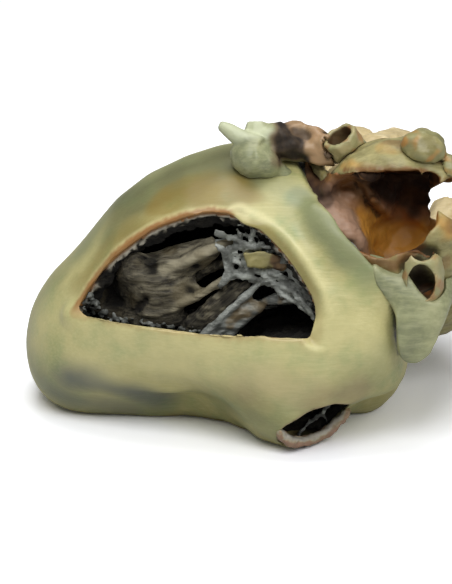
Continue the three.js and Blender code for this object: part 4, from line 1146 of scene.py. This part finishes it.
tendrils = [(0.75, [(360, 177), (374, 200), (388, 214)], 0.4, 1.3, 0.4, 1, 89)]
shaded = np.maximum(zones(liningPoints, liningTree, liningShade), creviceShadeOn(liningPoints, 7.5))
tint(lining, deep=(1 - zones(liningPoints, liningTree, tendrils)) * shaded)
print("lining made")

rightAtrium = dress("right_atrium", "atrium", atriumLook)
tint(rightAtrium, inner=innerSide(rightAtrium, place(*atriumLook["rightMiddle"])))
atriaSeptum = dress("interatrial_septum", "atrium", {"voxel": 0.45, "soften": 10})
tint(atriaSeptum, inner=0.6)
print("atria dressed")

# auricles
auricleLook = {"voxel": 0.4, "soften": 16, "lumps": [(5, 0.5, 51), (1.8, 0.12, 52, (2, 1, 1))]}
# the lump runs out flat onto the skin at its right
lumpSaddle = [[(250, 160, -6, 3.4), (262, 163, -5.5, 3.0), (276, 170, -3, 2.2), (288, 178, -3.5, 1.5)]]
leftAuricle = dress("left_auricle", "auricle", auricleLook, cordsAlong(lumpSaddle))
auriclePoints = pointsOf(leftAuricle)
auricleRight, auricleHeight = auriclePoints[:, 0] / mm, auriclePoints[:, 2] / mm
# right of the lump the auricle was torn from the atrium: crumpled high up, and stained there
# and further right; there it is also painted dark, as shade in its recess, in its folds and low down
tornOff = ease(auricleRight + 1.5 * cloudiness(auriclePoints, 3, 53), -2.6, -0.6)
highUp = ease(auricleHeight, 57.8, 59.6)
crumpled = cloudiness(auriclePoints, 4.2, 54) + 0.4 * cloudiness(auriclePoints, 1.8, 55)
crumple = tornOff * highUp * 1.5 * mm * crumpled
setPoints(leftAuricle, auriclePoints + normalsOf(leftAuricle) * crumple[:, None])
auricleTree = treeOf(leftAuricle)
tornOff = tornOff * np.maximum(highUp, ease(auricleRight, 3, 6))
auricleShade = [(1, [(264, 126), (272, 140), (283, 153), (293, 161), (306, 168)], 4.2, 6.2, 2, 2.5, 56)]
paleTop = [(0.8, [(222, 125), (236, 131), (246, 126), (256, 128)], 1.5, 4, 1, 3, 76)]
# painted shade in the recess, in the troughs of the folds and low down
auricleDeep = np.maximum.reduce([
    zones(auriclePoints, auricleTree, auricleShade), 0.8 * (1 - ease(crumpled, -0.4, -0.05)),
    0.85 * (1 - ease(auricleHeight, 57.2, 59.4))])
tint(leftAuricle, pale=zones(auriclePoints, auricleTree, paleTop), deep=tornOff * auricleDeep, torn=tornOff)

# the flap is one flat leaf that grows out of the skin at its upper left and curls back at
# its right
flapLook = {"voxel": 0.45, "soften": 34, "close": 1.2, "lumps": [(6, 0.35, 57)], "thickness": 2.0,
            "box": (364, 250, 442, 366), "curl": 2.2, "curlFrom": 410, "curlOver": 28,
            "grownAbove": 312, "grownFrom": (376, 262), "grownOver": 14,
            "outline": [(368, 254), (386, 258), (398, 266), (410, 278), (421, 293), (431, 303), (437, 318),
                        (438, 338), (430, 353), (418, 362), (406, 362), (398, 354), (396, 338), (395, 322),
                        (392, 308), (384, 296), (374, 282)],
            "depths": [(250, -15.5), (264, -19.5), (280, -22.8), (300, -25.0), (320, -26.2), (345, -26.2),
                       (365, -24.5)]}


# whether a point of the picture lies in an outline, by the edges it crosses
def insideOutline(across, down, outline):
    crossed = False
    for (x1, y1), (x2, y2) in zip(outline, outline[1:] + outline[:1]):
        if (y1 > down) != (y2 > down) and across < x1 + (down - y1) / (y2 - y1) * (x2 - x1):
            crossed = not crossed
    return crossed


def flapDepth(across, down):
    rows, depths = zip(*flapLook["depths"])
    curled = max(0, (across - flapLook["curlFrom"]) / flapLook["curlOver"])
    depth = np.interp(down, rows, depths) + flapLook["curl"] * curled ** 2
    met = seenOn(rolledTree, across, down)
    if met and down < flapLook["grownAbove"]:
        column, row = flapLook["grownFrom"]
        skinDepth = met.y / mm - heartShift.y
        grown = max(0, min(1, (across - column - 0.35 * (down - row)) / flapLook["grownOver"]))
        depth = skinDepth + 0.4 + (min(depth, skinDepth) - skinDepth - 0.4) * grown * grown * (3 - 2 * grown)
    return depth


def flapHole(across, down):
    return not insideOutline(across, down, flapLook["outline"])


flapSheet = sheetOver(flapLook["box"], 1.5, flapDepth, flapHole, flapLook["thickness"])
dress("right_auricle", "auricle", flapLook, [flapSheet])

# fat
fatLook = {"voxel": 0.4, "soften": 10, "lumps": [(3.2, 0.7, 61), (1.5, 0.25, 62)]}
grooveFat = dress("coronary_groove_fat", "fat", fatLook)
# the crevice's shade is painted dark on the fat
tint(grooveFat, deep=creviceShadeOn(pointsOf(grooveFat), 8))
roofFat = dress("roof_fat", "fat", fatLook)
roofPoints = pointsOf(roofFat)
tint(roofFat, green=0.7 * patches(roofPoints, 4, 63, -0.3, 0.3),
     ochre=0.7 * patches(roofPoints, 3, 64, 0.05, 0.4),
     dull=0.45 + 0.5 * patches(roofPoints, 3.5, 65, -0.2, 0.3))

# vessels, each with a point inside it
vesselLook = {"voxel": 0.42, "soften": 10, "lumps": [(4, 0.4, 71), (1.5, 0.15, 72)]}
vesselMiddles = {"aorta": (29, -2, 50), "pulmonary_trunk": (28, 26, 46), "pulmonary_vein_upper": (25, -2, 62),
                 "pulmonary_vein_back": (55, -2, 58), "cranial_vena_cava": (51, 38, 27),
                 "caudal_vena_cava": (62, 7, 27), "coronary_sinus": (41.2, -21, 40.3)}
for node, middle in vesselMiddles.items():
    piece = dress(node, "vessel", vesselLook)
    tint(piece, inner=innerSide(piece, place(*middle)))
    if node in ("pulmonary_vein_upper", "coronary_sinus"):
        points = pointsOf(piece)
        tint(piece, green=0.55 + 0.45 * patches(points, 3, 73, -0.3, 0.3),
             browned=0.7 * patches(points, 2.4, 75, 0.1, 0.45))
print("vessels dressed")

# floor, light and world; the paper is brighter where the camera sees it
stageSettings = {"floorSize": 3.0, "floorTone": "#C8C8C6", "seenFloor": [1.25, 1.26, 1.3, 1],
                 "whiteFrom": 0.18, "whiteAt": 0.4, "world": 0.17, "aim": (0, 0, 0.03),
                 "lamps": [("front_softbox", 4.2, 0.45, (-0.14, -0.5, 0.8)),
                           ("side_softbox", 2.5, 0.45, (0.42, -0.54, 0.6)),
                           ("top_softbox", 4.6, 0.6, (0.0, 0.14, 0.94))]}


def makeStage(settings):
    bpy.ops.mesh.primitive_plane_add(size=settings["floorSize"], location=(0, 0, 0))
    floor = bpy.context.object
    floor.name = "studio_floor"
    material = bpy.data.materials.new("white_paper_floor")
    material.use_nodes = True
    tree = material.node_tree
    shader = tree.nodes["Principled BSDF"]
    path = addNode(tree, "LightPath").outputs["Is Camera Ray"]
    tone = addNode(tree, "Mix", {0: path, 6: colour(settings["floorTone"]), 7: settings["seenFloor"]},
                   data_type="RGBA").outputs[2]
    tree.links.new(tone, shader.inputs["Base Color"])
    shader.inputs["Roughness"].default_value = 0.9
    shader.inputs["Specular IOR Level"].default_value = 0.0
    # further out, where the lamps no longer reach, the paper is seen as plain white
    where = addNode(tree, "TexCoord").outputs["Object"]
    away = addNode(tree, "VectorMath", {0: where}, operation="LENGTH").outputs["Value"]
    far = addNode(tree, "MapRange", {"Value": away, "From Min": settings["whiteFrom"],
                                     "From Max": settings["whiteAt"]}).outputs["Result"]
    share = addNode(tree, "Math", {0: far, 1: path}, operation="MULTIPLY").outputs[0]
    white = addNode(tree, "Emission", {"Strength": 1.0}).outputs["Emission"]
    blend = addNode(tree, "MixShader", {0: share, 1: shader.outputs["BSDF"], 2: white}).outputs["Shader"]
    tree.links.new(blend, tree.nodes["Material Output"].inputs["Surface"])
    floor.data.materials.append(material)
    for name, energy, size, spot in settings["lamps"]:
        lamp = bpy.data.lights.new(name, "AREA")
        lamp.energy = energy
        lamp.size = size
        softbox = bpy.data.objects.new(name, lamp)
        bpy.context.scene.collection.objects.link(softbox)
        softbox.location = spot
        aim = Vector(settings["aim"]) - Vector(spot)
        softbox.rotation_euler = aim.to_track_quat("-Z", "Y").to_euler()
    world = bpy.data.worlds.new("studio_world")
    bpy.context.scene.world = world
    world.use_nodes = True
    tree = world.node_tree
    tree.nodes.clear()
    path = addNode(tree, "LightPath")
    seen = addNode(tree, "Math", {0: path.outputs["Is Camera Ray"], 1: path.outputs["Is Transmission Ray"]},
                   operation="MAXIMUM").outputs[0]
    level = addNode(tree, "MapRange", {"Value": seen, "To Min": settings["world"],
                                       "To Max": 1.0}).outputs["Result"]
    light = addNode(tree, "Background", {"Color": (1, 1, 1, 1), "Strength": level}).outputs[0]
    addNode(tree, "OutputWorld", {"Surface": light})


makeStage(stageSettings)
bpy.context.scene.view_settings.view_transform = "Standard"
